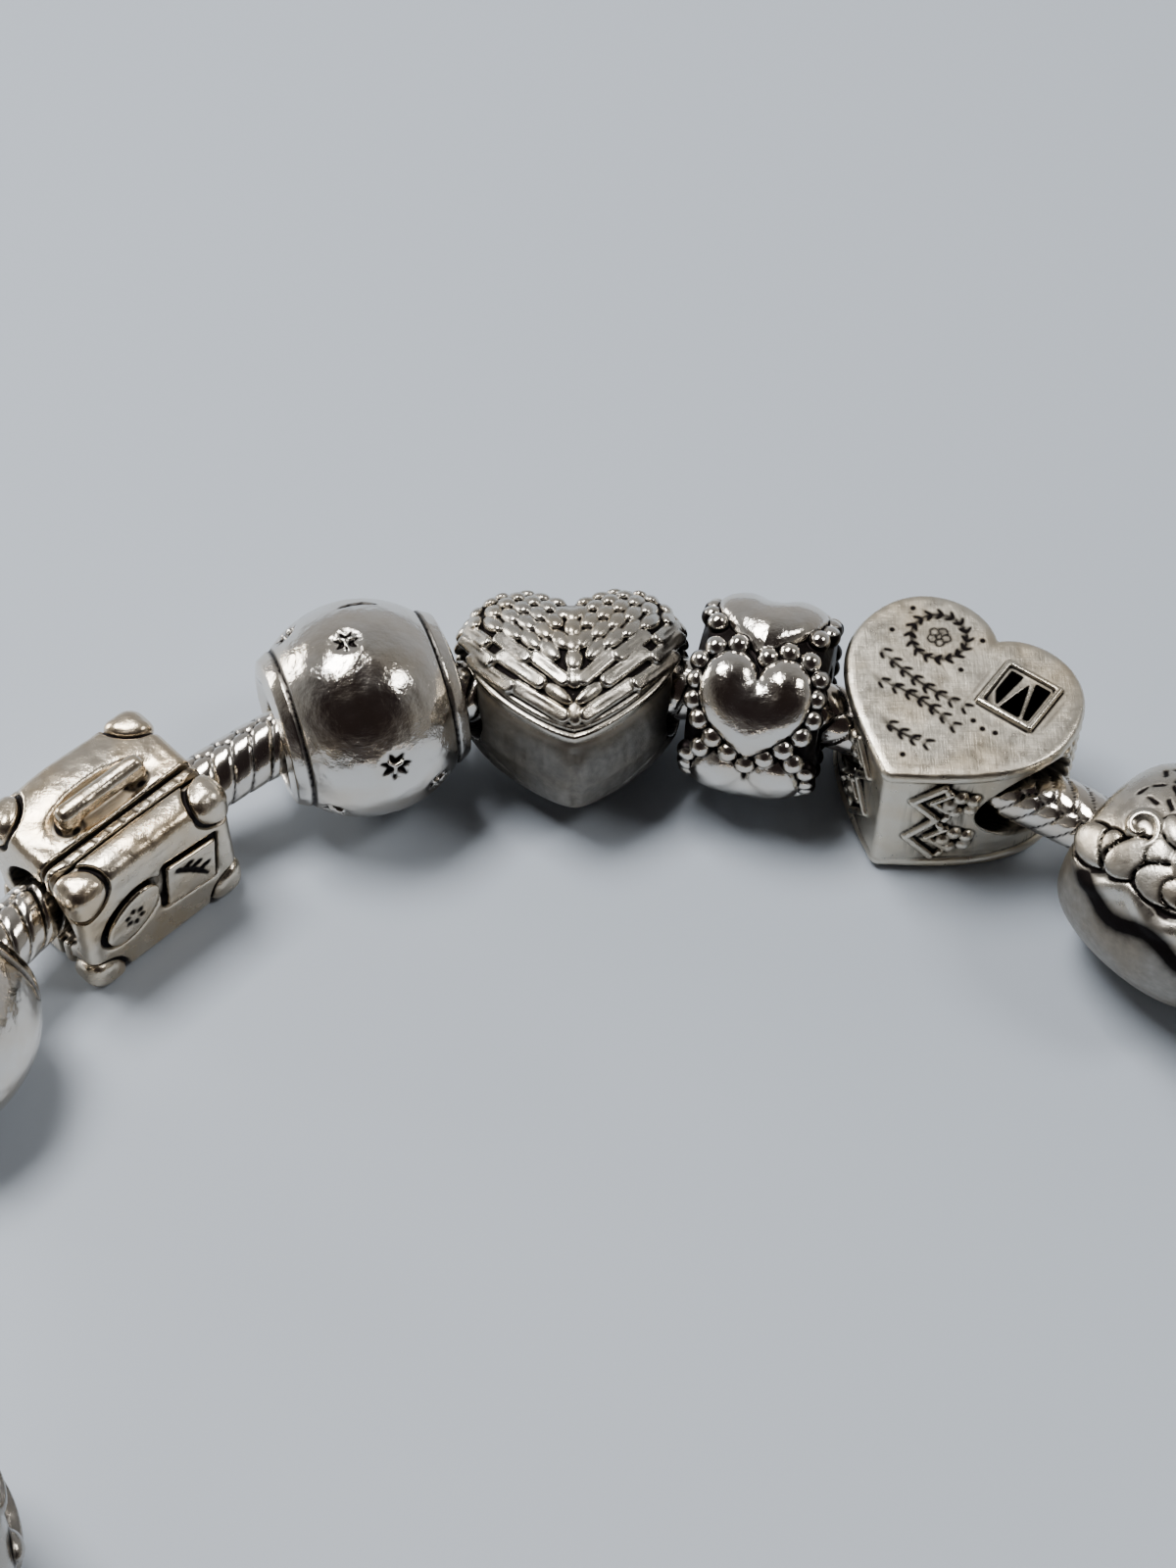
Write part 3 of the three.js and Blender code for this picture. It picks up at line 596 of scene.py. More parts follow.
def place_charm(name, make, material, slot, budget):
    clay = make()
    # The chain's bore follows the chain's route.
    matrix = charm_matrix(name)
    s, _, _, length = CHARMS[name]
    way = route(s + np.linspace(-length / 2 - 1.5, length / 2 + 1.5, 9))
    back = np.linalg.inv(matrix)
    way = way @ back[:3, :3].T + back[:3, 3]
    # The clasp's bore is two sockets with a wall between them.
    ways = [way[side * way[:, 0] > SOCKET_FLOOR] for side in (-1, 1)] if name == "barrel_clasp" else [way]
    # Each bore is painted dark inside, as shade in the hole round the chain.
    for part in ways:
        clay.line(part, BORE_D / 2, cut=True, soft=0.25, ink=0.8)
    # Every charm rests on the table, and no deeper.
    low = -matrix[2, 3]
    clay.cut(brick(60, 60, 40), at(0, 0, low - 20))
    piece = clay.mesh(name + "_skin", matrix, budget)
    dress(piece, name, material)


# ---- charms
def suitcase():
    L, D, H = 8.9, 7.1, 7.6
    clay = Clay((5.2, 4.3, 6.2), 0.085)
    clay.put(brick(L, D, H, 0.6))
    front, split = -D / 2, -D / 2 + 2.2
    # Soft pillows on the lid, the front strip and the faces.
    for x, y, z, a, b, c in ((0, 1.45, H / 2 - 0.3, 3.7, 1.9, 0.65), (-1.2, 2.0, H / 2 - 0.2, 2.4, 1.2, 0.5),
                             (0, front + 1.1, H / 2 - 0.25, 4.0, 0.8, 0.45), (0, 1.35, 0.2 - H / 2, 4.2, 2.1, 0.3),
                             (L / 2 - 0.2, 1.5, 0.8, 0.4, 1.6, 1.9), (0.2 - L / 2, 1.5, 0.8, 0.4, 1.6, 1.9)):
        clay.put(egg(a, b, c), at(x, y, z), soft=0.5)
    # Two grooves with a ticked band between them.
    core = brick(L - 0.8, 30, H - 0.8, 1.0)
    for side, wide in ((-1, 0.14), (1, 0.24)):
        groove = brick(20, wide, 20)
        clay.cut(lambda x, y, z: np.maximum(groove(x, y, z), -core(x, y, z)),
                 at(0, split + side * 0.36, 0), soft=0.2, ink=0.55)
    for x in np.arange(-4.0, 4.2, 0.8):
        clay.cut(rod(0.3, 0.08), move(at(x, split, H / 2 + 0.02), spin("z", 1.9)), reach=0.5, ink=0.7)
    # Handle: a slim bar over a dish, held at its ends.
    y = D / 2 - 3.5
    clay.cut(egg(2.9, 1.0, 0.55), at(0.1, y + 0.2, H / 2 + 0.25), reach=3.4, soft=0.35, ink=0.35)
    top = H / 2 + 0.85
    clay.put(brick(4.9, 0.95, 1.15, 0.42), at(0, y, top), reach=3.4)
    for side in (-1, 1):
        clay.put(brick(1.0, 0.85, 1.6, 0.3), at(side * 1.9, y, top - 0.9), reach=1.6, soft=0.3)
    # Low caps over the corners, each with a dark crescent round it.
    near, outer = brick(L - 0.36, D - 0.36, H - 0.36, 0.5), brick(L + 0.40, D + 0.40, H + 0.40, 0.9)
    for corner in np.ndindex(2, 2, 2):
        p = (2 * np.array(corner) - 1) * (np.array([L, D, H]) / 2 - 0.3)
        clay.cut(lambda x, y, z: np.maximum(np.abs(ball(1.60)(x, y, z)) - 0.13,
                                            -near(x + p[0], y + p[1], z + p[2])),
                 at(*p), reach=2.0, soft=0.15, ink=0.5)

        def patch(x, y, z):
            a, b = outer(x + p[0], y + p[1], z + p[2]), ball(1.50)(x, y, z)
            return np.maximum(a, b) + np.maximum(0.5 - np.abs(a - b), 0) ** 2 / 2.0
        clay.put(patch, at(*p), reach=1.8)
    # Oval and ticket labels in dark beds, on the front.
    label = move(at(0, front, 0), spin("x", pi / 2))
    disc = raster(oval(1.75, 1.05, 48)[:-1], 1)
    ticket = raster(np.array([(-1.35, -1.3), (1.35, -1.3), (1.35, 1.3), (-1.35, 1.3)]), 1)
    for x, shape, lean, bow in ((-1.75, disc, 0.62, 0), (1.7, ticket, -0.12, 0.25)):
        spot = move(label, at(x, 0.15, 0), spin("z", lean))
        clay.cut(prism(lambda u, v, s=shape: s(u, v) - 0.32, 0.56, 0.1), spot, reach=3, soft=0.25,
                 ink=0.55)
        clay.put(prism(lambda u, v, s=shape: s(u, v) - 0.04, 0.34, 0.12), spot, reach=2.8)
        if bow:
            stem = [(0.9 - 1.8 * t, -0.75 + 1.5 * t + 0.25 * sin(3 * t)) for t in np.linspace(0, 1, 12)]
            marks = [stem] + [[(stem[k][0] + side * 0.5 * t + 0.12 * t, stem[k][1] + 0.5 * t - 0.25 * t * t)
                               for t in np.linspace(0, 1, 5)] for k in (3, 6, 9) for side in (-1, 1)]
        else:
            marks = [[(0.55 * cos(a), 0.55 * sin(a)), (0.3 * cos(a), 0.3 * sin(a))]
                     for a in np.arange(6) * tau / 6]
        for mark in marks:
            clay.line([(spot @ (u, v, 0.17, 1))[:3] for u, v in mark], 0.12, cut=True, taper=True, ink=1.0)
    # Straps on the back.
    for side in (-1, 1):
        clay.put(brick(0.7, 0.5, H - 1.2, 0.2), at(side * 2.4, D / 2, 0), reach=4.2, soft=0.1)
    return clay


def star_ball():
    clay = Clay((4.7, 5.5, 5.5), 0.085)
    clay.put(ball(5.26))
    profile = turned([(-4.6, 0), (-4.5, 2.9), (-4.3, 3.55), (-3.75, 3.85), (0, 4.2), (3.75, 3.85), (4.3, 3.55),
                      (4.5, 2.9), (4.6, 0)])
    clay.put(profile, soft=0.15)
    clay.keep(brick(9.0, 30, 30, 0.3))
    for side in (-1, 1):
        clay.line(loop_of(side * 3.62, 3.90), 0.085, cut=True, soft=0.12, ink=0.9)
        clay.cut(egg(1.5, 2.45, 2.45), at(side * 4.9, 0, 0), reach=2.6, soft=0.7)
        # The collar's wide hole is painted black inside, as shade in the gap round the chain.
        clay.cut(rod(1.6, 2.0), at(side * 3.5, 0, 0), reach=3.0, soft=0.2, ink=1.0)
    # Pressed stars with a grain in the middle: degrees round from the top, place along, size.
    spots = [(-72, 0.2, 1.5), (2, -0.43, 1.3), (42, -2.85, 1.3), (-104, 2.4, 1.3), (-114, -2.87, 1.3),
             (70, 1.6, 1.3), (118, -1.9, 1.4), (150, 1.2, 1.3), (-150, 0.6, 1.4), (-175, -2.4, 1.3), (95, 2.9, 1.2)]
    seats = []
    for turn, x, size in spots:
        a = radians(turn)
        out = np.array([x * 0.95, sqrt(27.6 - x * x) * sin(a), sqrt(27.6 - x * x) * cos(a)])
        seats.append((clay.seat(out * 1.6, -out), size))
    arc = []
    for k in np.linspace(-0.8, 0.8, 9):
        d = np.array([0.9 + 1.3 * sin(k), 2.35 + 0.5 * cos(k), 4.6])
        arc.append(clay.seat(d * 1.6, -d)[:3, 3])
    for spot, size in seats:
        mark = raster(star(size / 2, 0.45, 7), 0.6)
        clay.cut(egg(0.75, 0.75, 0.14), spot, reach=1.2, soft=0.15)
        clay.cut(prism(mark, 0.50, 0.05), spot, reach=1.2, ink=1.0)
        for turn in (0.3, 2.4, 4.5):
            clay.put(egg(0.3, 0.12, 0.16), move(spot, spin("z", turn), at(0.2, 0, -0.12)), reach=0.6)
    clay.line(arc, 0.13, cut=True, taper=True, ink=0.9)
    return clay


def winged_heart():
    clay = Clay((5.9, 6.3, 4.75), 0.08)
    shape = raster(heart(9.7, 8.9, 2.7), 1.8)
    outline = lambda x, y: shape(x, y + 0.85) - 0.9
    thick = inflated(outline, 4.25)
    clay.put(lambda x, y, z: np.maximum((np.abs(z) - thick(x, y)) * 0.8, outline(x, y)))
    clay.field = blur(clay.field, 2)
    seats = []
    for side in (-1, 1):
        # Long feathers run down and in, from the shoulder to the middle of the V.
        start, tip = np.array([side * 4.9, -0.35]), np.array([0, -4.35])
        along = (tip - start) / np.linalg.norm(tip - start)
        up = np.array([along[1] * side, -along[0] * side])
        # Rows of feathers: height over the V, length, half width, pitch, slope in degrees.
        rows = ((-0.20, 3.5, 0.37, 3.0, 38), (0.42, 3.2, 0.37, 2.7, 42), (1.05, 2.6, 0.37, 2.2, 46),
                (1.75, 1.9, 0.42, 1.12, 55), (2.50, 1.6, 0.43, 1.02, 60), (3.25, 1.4, 0.44, 0.98, 66), (4.0, 1.25, 0.45, 0.96, 70),
                (4.75, 1.2, 0.45, 0.95, 74), (5.5, 1.2, 0.45, 0.95, 78), (6.2, 1.2, 0.45, 0.95, 80))
        for row, (q, length, wide, pitch, slope) in enumerate(rows):
            foot = start + q * up
            inner = foot + along * ((0.10 - side * foot[0]) / (along[0] * side))
            flow = np.array([-side * cos(radians(slope)), -sin(radians(slope))])
            for k in range(14):
                tail = inner - along * (0.15 + pitch * (k + 0.5 * (row % 2)))
                x, y = tail - flow * length / 2
                if side * x < 0.25 or outline(x, y) > -0.35:
                    continue
                spot = clay.seat((x, y, 8), (0, 0, -1), (*flow, 0))
                if spot is not None and spot[2, 3] > 1.2:
                    seats.append((spot, length, wide))
            if row < 3 and row % 2:
                x, y = inner - flow * length * 0.3
                seats.append((clay.seat((x, y, 8), (0, 0, -1), (*flow, 0)), length * 0.6, wide))
            elif side > 0 and outline(0, inner[1] + 0.6) < -0.5:
                seats.append((clay.seat((0.05, inner[1] + 0.55, 8), (0, 0, -1), (0, -1, 0)), 1.35, 0.46))
        # Round scales over the lobes, down to their sides.
        for k, rise in enumerate((75, 64, 53, 42, 31, 20, 9, -2, -13, -24)):
            for turn in np.radians(np.arange(-24, 208, 12 if rise < 60 else 20) + (k % 2) * 6):
                r = radians(rise)
                toward = np.array([side * cos(turn) * cos(r), sin(turn) * cos(r), sin(r)])
                spot = clay.seat(np.array([side * 2.75, 0.9, 0.3]) + toward * 8, -toward, (side * 0.2, -0.6, -0.8))
                if spot is None:
                    continue
                px, py, pz = spot[:3, 3]
                if side * px < 0.4 or py < -0.1 - 0.12 * pz:
                    continue
                if all(np.linalg.norm(spot[:3, 3] - other[:3, 3]) > 0.42 + 0.24 * size for other, size, _ in seats):
                    seats.append((spot, 1.1, 0.45))
    rims = []
    for lift in (2.8, 3.15):
        path = []
        for k in np.linspace(-1, 1, 41):
            begin = np.array([k * 2.0, -0.5, lift - 0.9])
            goal = np.array([5.2 * k, -0.75 - 4.4 * (1 - abs(k)) ** 0.9, lift])
            d = (goal - begin) / np.linalg.norm(goal - begin)
            spot = clay.seat(begin + d * 9, -d)
            if spot is not None:
                path.append(spot[:3, 3])
        rims.append(path)
    crease = [clay.seat((0.06 * sin(z * 3), -9, z), (0, 1, 0))[:3, 3] for z in np.linspace(2.1, -1.4, 10)]
    seam = []
    for x in np.linspace(-4.7, 4.7, 31):
        spot = clay.seat((x, -9, -0.5 - 1.6 * (1 - (x / 4.7) ** 2)), (0, 1, 0))
        if spot is not None:
            seam.append(spot[:3, 3])
    # The ground between the feathers is dark.
    x, y, z = clay.part(-np.full(3, 99.0), np.full(3, 99.0))[1]
    clay.ink = np.clip((np.maximum(z - 3.0, y - 0.2) + 0.2) / 0.3, 0, 1) * np.ones_like(clay.field) * 0.3
    for spot, length, wide in seats:
        if length > 2:
            clay.put(feather(length, wide, 0.24), move(spot, spin("y", -0.16 / length)), reach=length / 2 + 0.4,
                     soft=0.03)
            clay.line([(spot @ (u, 0.05, 0.24, 1))[:3] for u in np.linspace(-length * 0.35, length * 0.25, 5)],
                      0.05, cut=True, taper=True, ink=0.5)
        else:
            clay.put(egg(length / 2, wide, 0.30), move(spot, spin("y", -0.20)), reach=length / 2 + 0.4, soft=0.02)
    clay.line(rims[0], 0.17, soft=0.12)
    clay.line(rims[1], 0.15, soft=0.12)
    clay.line(crease, 0.16, cut=True, soft=0.5)
    clay.line(seam, 0.06, cut=True, soft=0.15, ink=0.4)
    # The plain lower body, low down and towards the tip, is painted darker and made rougher all over.
    clay.stain_and_shade.append(lambda co: 0.50 * np.clip((2.7 - co[:, 2]) / 0.4, 0, 1)
                      * np.clip((0.2 - co[:, 1]) / 0.6, 0, 1))
    return clay


def beaded_hearts():
    clay = Clay((3.8, 5.1, 5.1), 0.08)
    r = 4.3
    barrel = turned([(-3.15, 0), (-3.15, 3.3), (-2.75, 3.75), (-1.5, 4.05), (1.5, 4.05), (2.75, 3.75), (3.15, 3.3),
                     (3.15, 0)])
    clay.put(barrel, ink=1.0)
    width, height = 5.3, 5.1
    puff = raster(heart(width, height, height * 0.2), 1.2)
    rows = heart(width + 1.0, height + 1.0, height * 0.17)
    near = raster(rows, 4)

    def pillow(x, y, z):
        # The heart is bent round the barrel.
        z = np.sqrt(y * y + (z + r) ** 2) - r
        d = puff(x, y)
        top = 0.72 * np.sqrt(1 - (1 - np.clip(-d / 1.9, 0, 1)) ** 2.2) + 0.03
        return rounded(d, z - top, 0)
    APART, GRAIN = 0.90, 0.53
    beads, facings = [], [i * tau / 5 + radians(46) for i in range(5)]

    def bead(x, turn):
        x = np.clip(x, -2.85, 2.85)
        low = r - 0.14 - 0.225 * max(0, abs(x) - 1.6) ** 2
        p = np.array([x, -low * sin(turn), low * cos(turn)])
        if all(np.linalg.norm(p - q) > APART for q in beads):
            beads.append(p)
    for facing in facings:
        for x, y in spaced(rows, 1.04):
            bead(x, facing - y / r)
    # More beads fill the corners between the hearts, from the outlines outwards.
    free = [(x, turn) for x in np.arange(-2.85, 2.86, 0.19) for turn in np.arange(0, tau, 0.045)]
    gaps = [min(float(near(np.array(x), np.array(-r * ((turn - f + pi) % tau - pi)))) for f in facings)
            for x, turn in free]
    for k in np.argsort(gaps):
        if gaps[k] > -0.1:
            bead(*free[k])
    for facing in facings:
        clay.put(pillow, round_bore(facing, 0, r - 0.1), reach=3.6)
    for p in beads:
        clay.put(ball(GRAIN), at(*p), reach=0.8)
    # The barrel's core between the hearts and beads is painted dark all over.
    clay.stain_and_shade.append(lambda co: 0.85 * np.clip((4.2 - np.hypot(co[:, 1], co[:, 2])) / 0.12, 0, 1))
    return clay


def heart_box():
    W, H, T, out = 11.8, 10.9, 7.9, 0.65
    clay = Clay((6.1, 6.5, 4.2), 0.08)
    corner = 0.6
    inner = W - 2 * corner, H - 1.35, 1.35
    shape = raster(heart(*inner), 1.5)
    outline = lambda x, y: shape(x, y - out) - corner
    clay.put(prism(outline, T, 0.55))
    # Walls a little sunk between the two faces, and plain round the tip.
    def sunk(x, y, z):
        aside = np.clip((np.sqrt(x * x + (y - out + H / 2) ** 2) - 1.5) / 1.2, 0, 1)
        return np.maximum(np.abs(z) - (T / 2 - 0.9), -(outline(x, y) + 0.17 * aside - 0.02))
    clay.cut(sunk, soft=0.5)
    for side in (-1, 1):
        clay.cut(lambda x, y, z: np.maximum(np.abs(z - side * T / 2) - 0.06, outline(x, y) + 0.35),
                 soft=0.3)
    top = T / 2 - 0.06
    # Window: a raised square frame, with three openings cut through between two slanted bars; the openings and the
    # hollow behind them are painted black, as shade.
    wx, wy = 2.6, 2.75
    clay.put(brick(3.05, 3.05, 0.46, 0.1), at(wx, wy, top), reach=2.6, soft=0.08)
    clay.cut(brick(2.5, 2.5, 0.4, 0.05), at(wx, wy, top + 0.22), reach=2.1, soft=0.05)
    for pts in ([(-1.05, -0.3), (-0.62, -1.05), (-0.42, 1.08), (-1.05, 1.08)],
                [(-0.42, -1.08), (0.62, -1.08), (0.05, 0.85)],
                [(0.85, -1.08), (1.08, -1.0), (1.08, 1.08), (0.30, 1.08)]):
        clay.cut(prism(raster(np.array(pts), 0.6), 3.2, 0.02), at(wx, wy, top - 0.6), reach=2.3, ink=1.0)
    clay.cut(brick(2.6, 2.6, 3.4, 0.6), at(wx, wy, top - 2.95), reach=2.6, ink=1.0)
    for a, b in (((-1.9, 1.0), (-1.85, -1.4)), ((1.85, -1.3), (1.95, 1.5))):
        clay.line([(wx + a[0], wy + a[1], top), (wx + b[0], wy + b[1], top)], 0.09, cut=True, taper=True, ink=0.5)

    # Engraved sprays of leaves and dots over the rest of the face.
    LEAF, STEM = 0.095, 0.075

    def stroke(points, w, taper=True):
        p = np.asarray(points, float)
        clay.line(np.column_stack([p, np.full(len(p), top + 0.02)]), w, cut=True, taper=taper, ink=1.0)

    def spray(x, y, lean, length, pairs, bow, size=0.5):
        ca, sa = cos(lean), sin(lean)
        go = lambda u, v: (x + ca * u - sa * v, y + sa * u + ca * v)
        wave = lambda u: bow * sin(pi * u / length)
        stroke([go(u, wave(u)) for u in np.linspace(0, length, 14)], 0.08)
        for k in range(pairs):
            u = length * (k + 0.5) / pairs
            for side in (-1, 1):
                stroke([go(u + size * t, wave(u) + side * size * (0.1 + 1.0 * t - 0.45 * t * t))
                        for t in np.linspace(0, 1, 5)], LEAF)
    # A wreath of leaves round a small bloom, and sprays under it.
    mx, my, ring = -2.35, 3.55, 1.35
    for a in np.arange(16) * tau / 16:
        for b in (a + pi / 2 + 0.7, a + pi / 2 - 0.7):
            stroke([(mx + ring * cos(a) + t * cos(b), my + ring * sin(a) + t * sin(b))
                    for t in np.linspace(0, 0.52, 5)], LEAF)
    stroke(oval(ring, ring, 40, mx, my), STEM, False)
    for a in np.arange(5) * tau / 5 + 0.3:
        stroke(oval(0.22, 0.22, 14, mx + 0.36 * cos(a), my + 0.36 * sin(a)), STEM, False)
    spray(-4.5, 1.35, -0.10, 5.6, 8, -0.35)
    spray(-3.6, -0.35, -0.05, 4.8, 7, 0.35)
    spray(-1.9, -2.15, 0.05, 2.6, 4, -0.2)
    for x, y in ((-0.55, 4.6), (-0.45, 2.5), (-4.3, 4.3), (-4.4, 2.6), (1.6, 0.3), (2.2, 0.15), (2.8, 0.3),
                 (0.0, -3.3)):
        clay.cut(ball(0.15), at(x, y, top + 0.04), reach=0.4, ink=1.0)

    # Places on the wall: distance round from the tip, height, and how far out of the surface.
    rim = heart(*inner, 60)
    rim = rim[:len(rim) // 2 + 1]
    run = np.concatenate([[0], np.cumsum(np.hypot(*np.diff(rim, axis=0).T))])

    def wall(side, u, z, lift=-0.14):
        u = u - corner
        p = np.array([np.interp(u, run, rim[:, i]) for i in (0, 1)])
        d = np.array([np.interp(u + 0.1, run, rim[:, i]) - np.interp(u - 0.1, run, rim[:, i]) for i in (0, 1)])
        d /= np.linalg.norm(d)
        p = p + (corner + lift) * np.array([d[1], -d[0]])
        return side * p[0], p[1] + out, z

    def flower(side, u, z, size=0.78):
        for a in np.arange(5) * tau / 5 + 0.5:
            petal = wall(side, u + size * 0.72 * cos(a), z + size * 0.72 * sin(a), -0.22)
            clay.put(ball(size / 2), at(*petal), reach=0.6, soft=0.06)
        clay.cut(ball(0.12), at(*wall(side, u, z, 0.06)), reach=0.4, ink=1.0)
        for a in (2.2, 3.1, 4.2):
            clay.line([wall(side, u + size * t * cos(a), z + size * t * sin(a), -0.16)
                       for t in (1.2, 1.7, 2.1)], 0.17, taper=True)
    for side in (-1, 1):
        # Dark beds of the relief.
        for u, z, r in ((3.3, 1.5, 1.3), (3.3, -1.5, 1.3), (2.4, 0.3, 0.7)):
            clay.cut(egg(r, r, r), at(*wall(side, u, z, r * 0.86)), reach=r + 0.3, soft=0.2, ink=0.9)
        for shift, wide, zigs in ((0, 0.19, ((3.1, 2.9), (1.7, 1.75), (2.9, 0.35), (1.6, -1.1), (2.9, -2.7))),
                                  (0.15, 0.15, ((3.3, 2.35), (2.45, 1.7), (3.2, 1.0))),
                                  (0.15, 0.15, ((3.3, -0.45), (2.4, -1.15), (3.2, -1.9)))):
            clay.line([wall(side, u + shift, z, -0.06) for u, z in zigs], wide, soft=0.06)
        flower(side, 4.0, 1.45)
        flower(side, 3.95, -1.45)
        # Small scales on the walls behind the chain's holes.
        for row, u in enumerate(np.arange(9.3, run[-1], 0.62)):
            for z in np.arange(-2.8, 2.9, 0.8) + (row % 2) * 0.4:
                clay.put(egg(0.36, 0.36, 0.44), at(*wall(side, u, z, -0.34)), reach=0.7)
        # The chain's hole widens to an oval at the wall, painted black inside as shade.
        clay.cut(egg(1.7, 2.6, 2.35), at(side * 5.3, 0.15, 0.3), reach=3.2, soft=0.2, ink=1.0)
    return clay


def leaf_relief():
    clay = Clay((4.6, 5.6, 5.6), 0.085)
    R, e = 5.05, 4.4
    a = np.linspace(0, pi, 33)
    body = np.stack([-e * np.cos(a), 3.05 + (R - 3.05) * np.sin(a) ** 0.8], -1)
    clay.put(turned([(-e, 0), *body, (e, 0)]))
    for side in (-1, 1):
        clay.line(loop_of(side * 4.05, 3.3), 0.3, soft=0.15)
        clay.line(loop_of(side * 3.55, 3.85), 0.1, cut=True, soft=0.1, ink=0.6)

    def on(x, turn):
        d = np.array([0, sin(radians(turn)), cos(radians(turn))])
        return clay.seat(np.array([x, 0, 0]) + d * 8, -d)
    curls, leaves, waves, dashes = [], [], [], []
    for k in range(2):
        base = 180 * k
        # A wavy dark furrow under swirls and petals, with engraved marks above them.
        furrow = lambda x: base - 47 + 6 * sin(x * 1.5 + 2.4) + 4 * sin(x * 0.7)
        waves.append(([on(x, furrow(x))[:3, 3] for x in np.linspace(-3.5, 3.7, 34)], 0.19, True))
        waves.append(([on(x, furrow(x) - 9)[:3, 3] * 0.93 for x in np.linspace(-3.5, 3.7, 34)], 0.55, False))
        for i, x in enumerate(np.arange(-3.1, 3.6, 0.95)):
            leaves.append((move(on(x, furrow(x) + 9 + 5 * (i % 2)), spin("z", 0.9 * sin(4 * x)),
                                at(0, 0, -0.12)), 0.9 + 0.4 * cos(5 * x) ** 2))
        for x0, da, flip, size in ((-1.9, -22, 1, 1.0), (0.9, -18, -1, 1.1), (2.9, -20, 1, 0.8)):
            path = []
            for t in np.linspace(0, 1, 24):
                rad, ang = size * (1 - 0.75 * t), flip * (t * 6.6 - 0.8)
                path.append(on(x0 + rad * cos(ang), base + da + 11.5 * rad * sin(ang))[:3, 3])
            curls.append((path, 0.22))
        for x, da, lean, size in ((2.4, -8, 0.9, 0.8), (-0.5, -12, -0.4, 0.8)):
            leaves.append((move(on(x, base + da), spin("z", lean)), size))
        for row, turn in enumerate((-4, 6, 16, 27, 39, 52, 66, 82)[:8 - 4 * k]):
            for x in np.arange(-3.2, 3.4, 0.75) + 0.35 * (row % 2):
                bend = sin(3 * x + 2 * row)
                spot = move(on(x, base + turn + 2 * bend), spin("z", 1.2 + 0.7 * bend))
                dashes.append([(spot @ (0.34 * t, 0.2 * sin(2.2 * t) * bend, 0, 1))[:3]
                               for t in np.linspace(-1, 1, 6)])
    for path, r, cut in waves:
        clay.line(path, r, cut=cut, soft=0.2, ink=1.0 if cut else 0)
    for spot, size in leaves:
        clay.cut(egg(1.25 * size, 0.86 * size, 0.30), spot, reach=1.6 * size + 0.3, soft=0.04, ink=0.8)
        clay.put(egg(1.12 * size, 0.74 * size, 0.26), spot, reach=1.5 * size + 0.3, soft=0.02)
    for path, r in curls:
        clay.line(path, r, soft=0.15, taper=True)
    for path in dashes:
        clay.line(path, 0.085, cut=True, soft=0.05, taper=True, ink=1.0)
    # The plain lower part is painted darker and rougher, with a dark band under its highlight that is a painted
    # reflection.
    def darker_below_and_painted_reflection(co):
        low = np.degrees(np.arctan2(-co[:, 1], co[:, 2])) - 4 * np.sin(co[:, 0] * 1.5 + 2.4)
        band = 0.6 * np.exp(-((low - 67) / 7) ** 2) * np.clip(co[:, 0] + 3.6, 0, 1)
        return np.clip((low - 58) / 8, 0, 1) * 0.40 + band
    clay.stain_and_shade.append(darker_below_and_painted_reflection)
    return clay


def round_bead():
    clay = Clay((4.3, 4.75, 4.75), 0.11)
    r, e = 4.65, 4.2
    bulge = lambda x: r * np.sqrt(1 - (x / e) ** 2 * 0.62)
    x = np.linspace(-e + 0.1, e - 0.1, 40)
    clay.put(turned([(-e, 0), (-e, 2.8), *np.stack([x, bulge(x)], -1), (e, 2.8), (e, 0)]))
    for x, w in ((-e * 0.62, 0.3), (e * 0.8, 0.12)):
        clay.line(loop_of(x, bulge(x)), w, cut=True, soft=0.15, ink=0.7)
    return clay


def petal_bead():
    clay = Clay((4.8, 6.3, 6.3), 0.105)
    r, e = 5.9, 4.7
    a = np.linspace(0, pi, 33)
    clay.put(turned([(-e, 0), *np.stack([-e * np.cos(a), r * 0.52 + r * 0.46 * np.sin(a) ** 0.6], -1), (e, 0)]))
    panel = raster(oval(2.5, 2.0)[:-1], 1)
    for k in range(6):
        facing, between = k * tau / 6, (k + 0.5) * tau / 6
        clay.cut(prism(lambda x, y: panel(x, y) - 0.25, 0.9, 0.15), round_bore(facing, 0, 5.75), reach=3.2,
                 soft=0.2, ink=0.9)
        clay.put(prism(panel, 1.6, 0.1), round_bore(facing, 0, 5.15), reach=3.2)
        clay.put(prism(lambda x, y: np.abs(panel(x, y) + 0.17) - 0.16, 1.8, 0.14), round_bore(facing, 0, 5.25),
                 reach=3.2)
        for side in (-1, 1):
            clay.put(egg(0.75, 0.5, 0.5), round_bore(between, side * 2.6, 5.45), reach=1.2)
        clay.put(ball(0.6), round_bore(between, 0, 5.55), reach=1.0)
    for side in (-1, 1):
        for p in loop_of(side * 4.2, 3.75, 25)[:-1]:
            clay.put(ball(0.34), at(*p), reach=0.6)
        clay.line(loop_of(side * 4.5, 2.75), 0.22)
    return clay


def dotted_spacer():
    clay = Clay((1.8, 4.9, 4.9), 0.1)
    clay.put(lambda x, y, z: brick(3.3, 7.4, 99, 0.4)(x, np.sqrt(y * y + z * z), 0 * x))
    for k in range(10):
        clay.put(ball(1.0), round_bore(k * tau / 10, 0, 3.8), reach=1.4, soft=0.06)
        for side in (-1, 1):
            clay.put(ball(0.3), round_bore((k + 0.5) * tau / 10, side * 1.1, 3.75), reach=0.5)
    return clay


def barrel_clasp():
    clay = Clay((6.6, 4.4, 4.4), 0.14)
    r, e = 4.3, 6.5
    half = [(1, 0), (1, 0.72), (0.93, 0.84), (0.7, 0.9), (0.66, 0.82), (0.6, 0.92), (0.3, 0.99)]
    clay.put(turned([(-x * e, y * r) for x, y in half] + [(0, r)] + [(x * e, y * r) for x, y in half[::-1]]))
    return clay


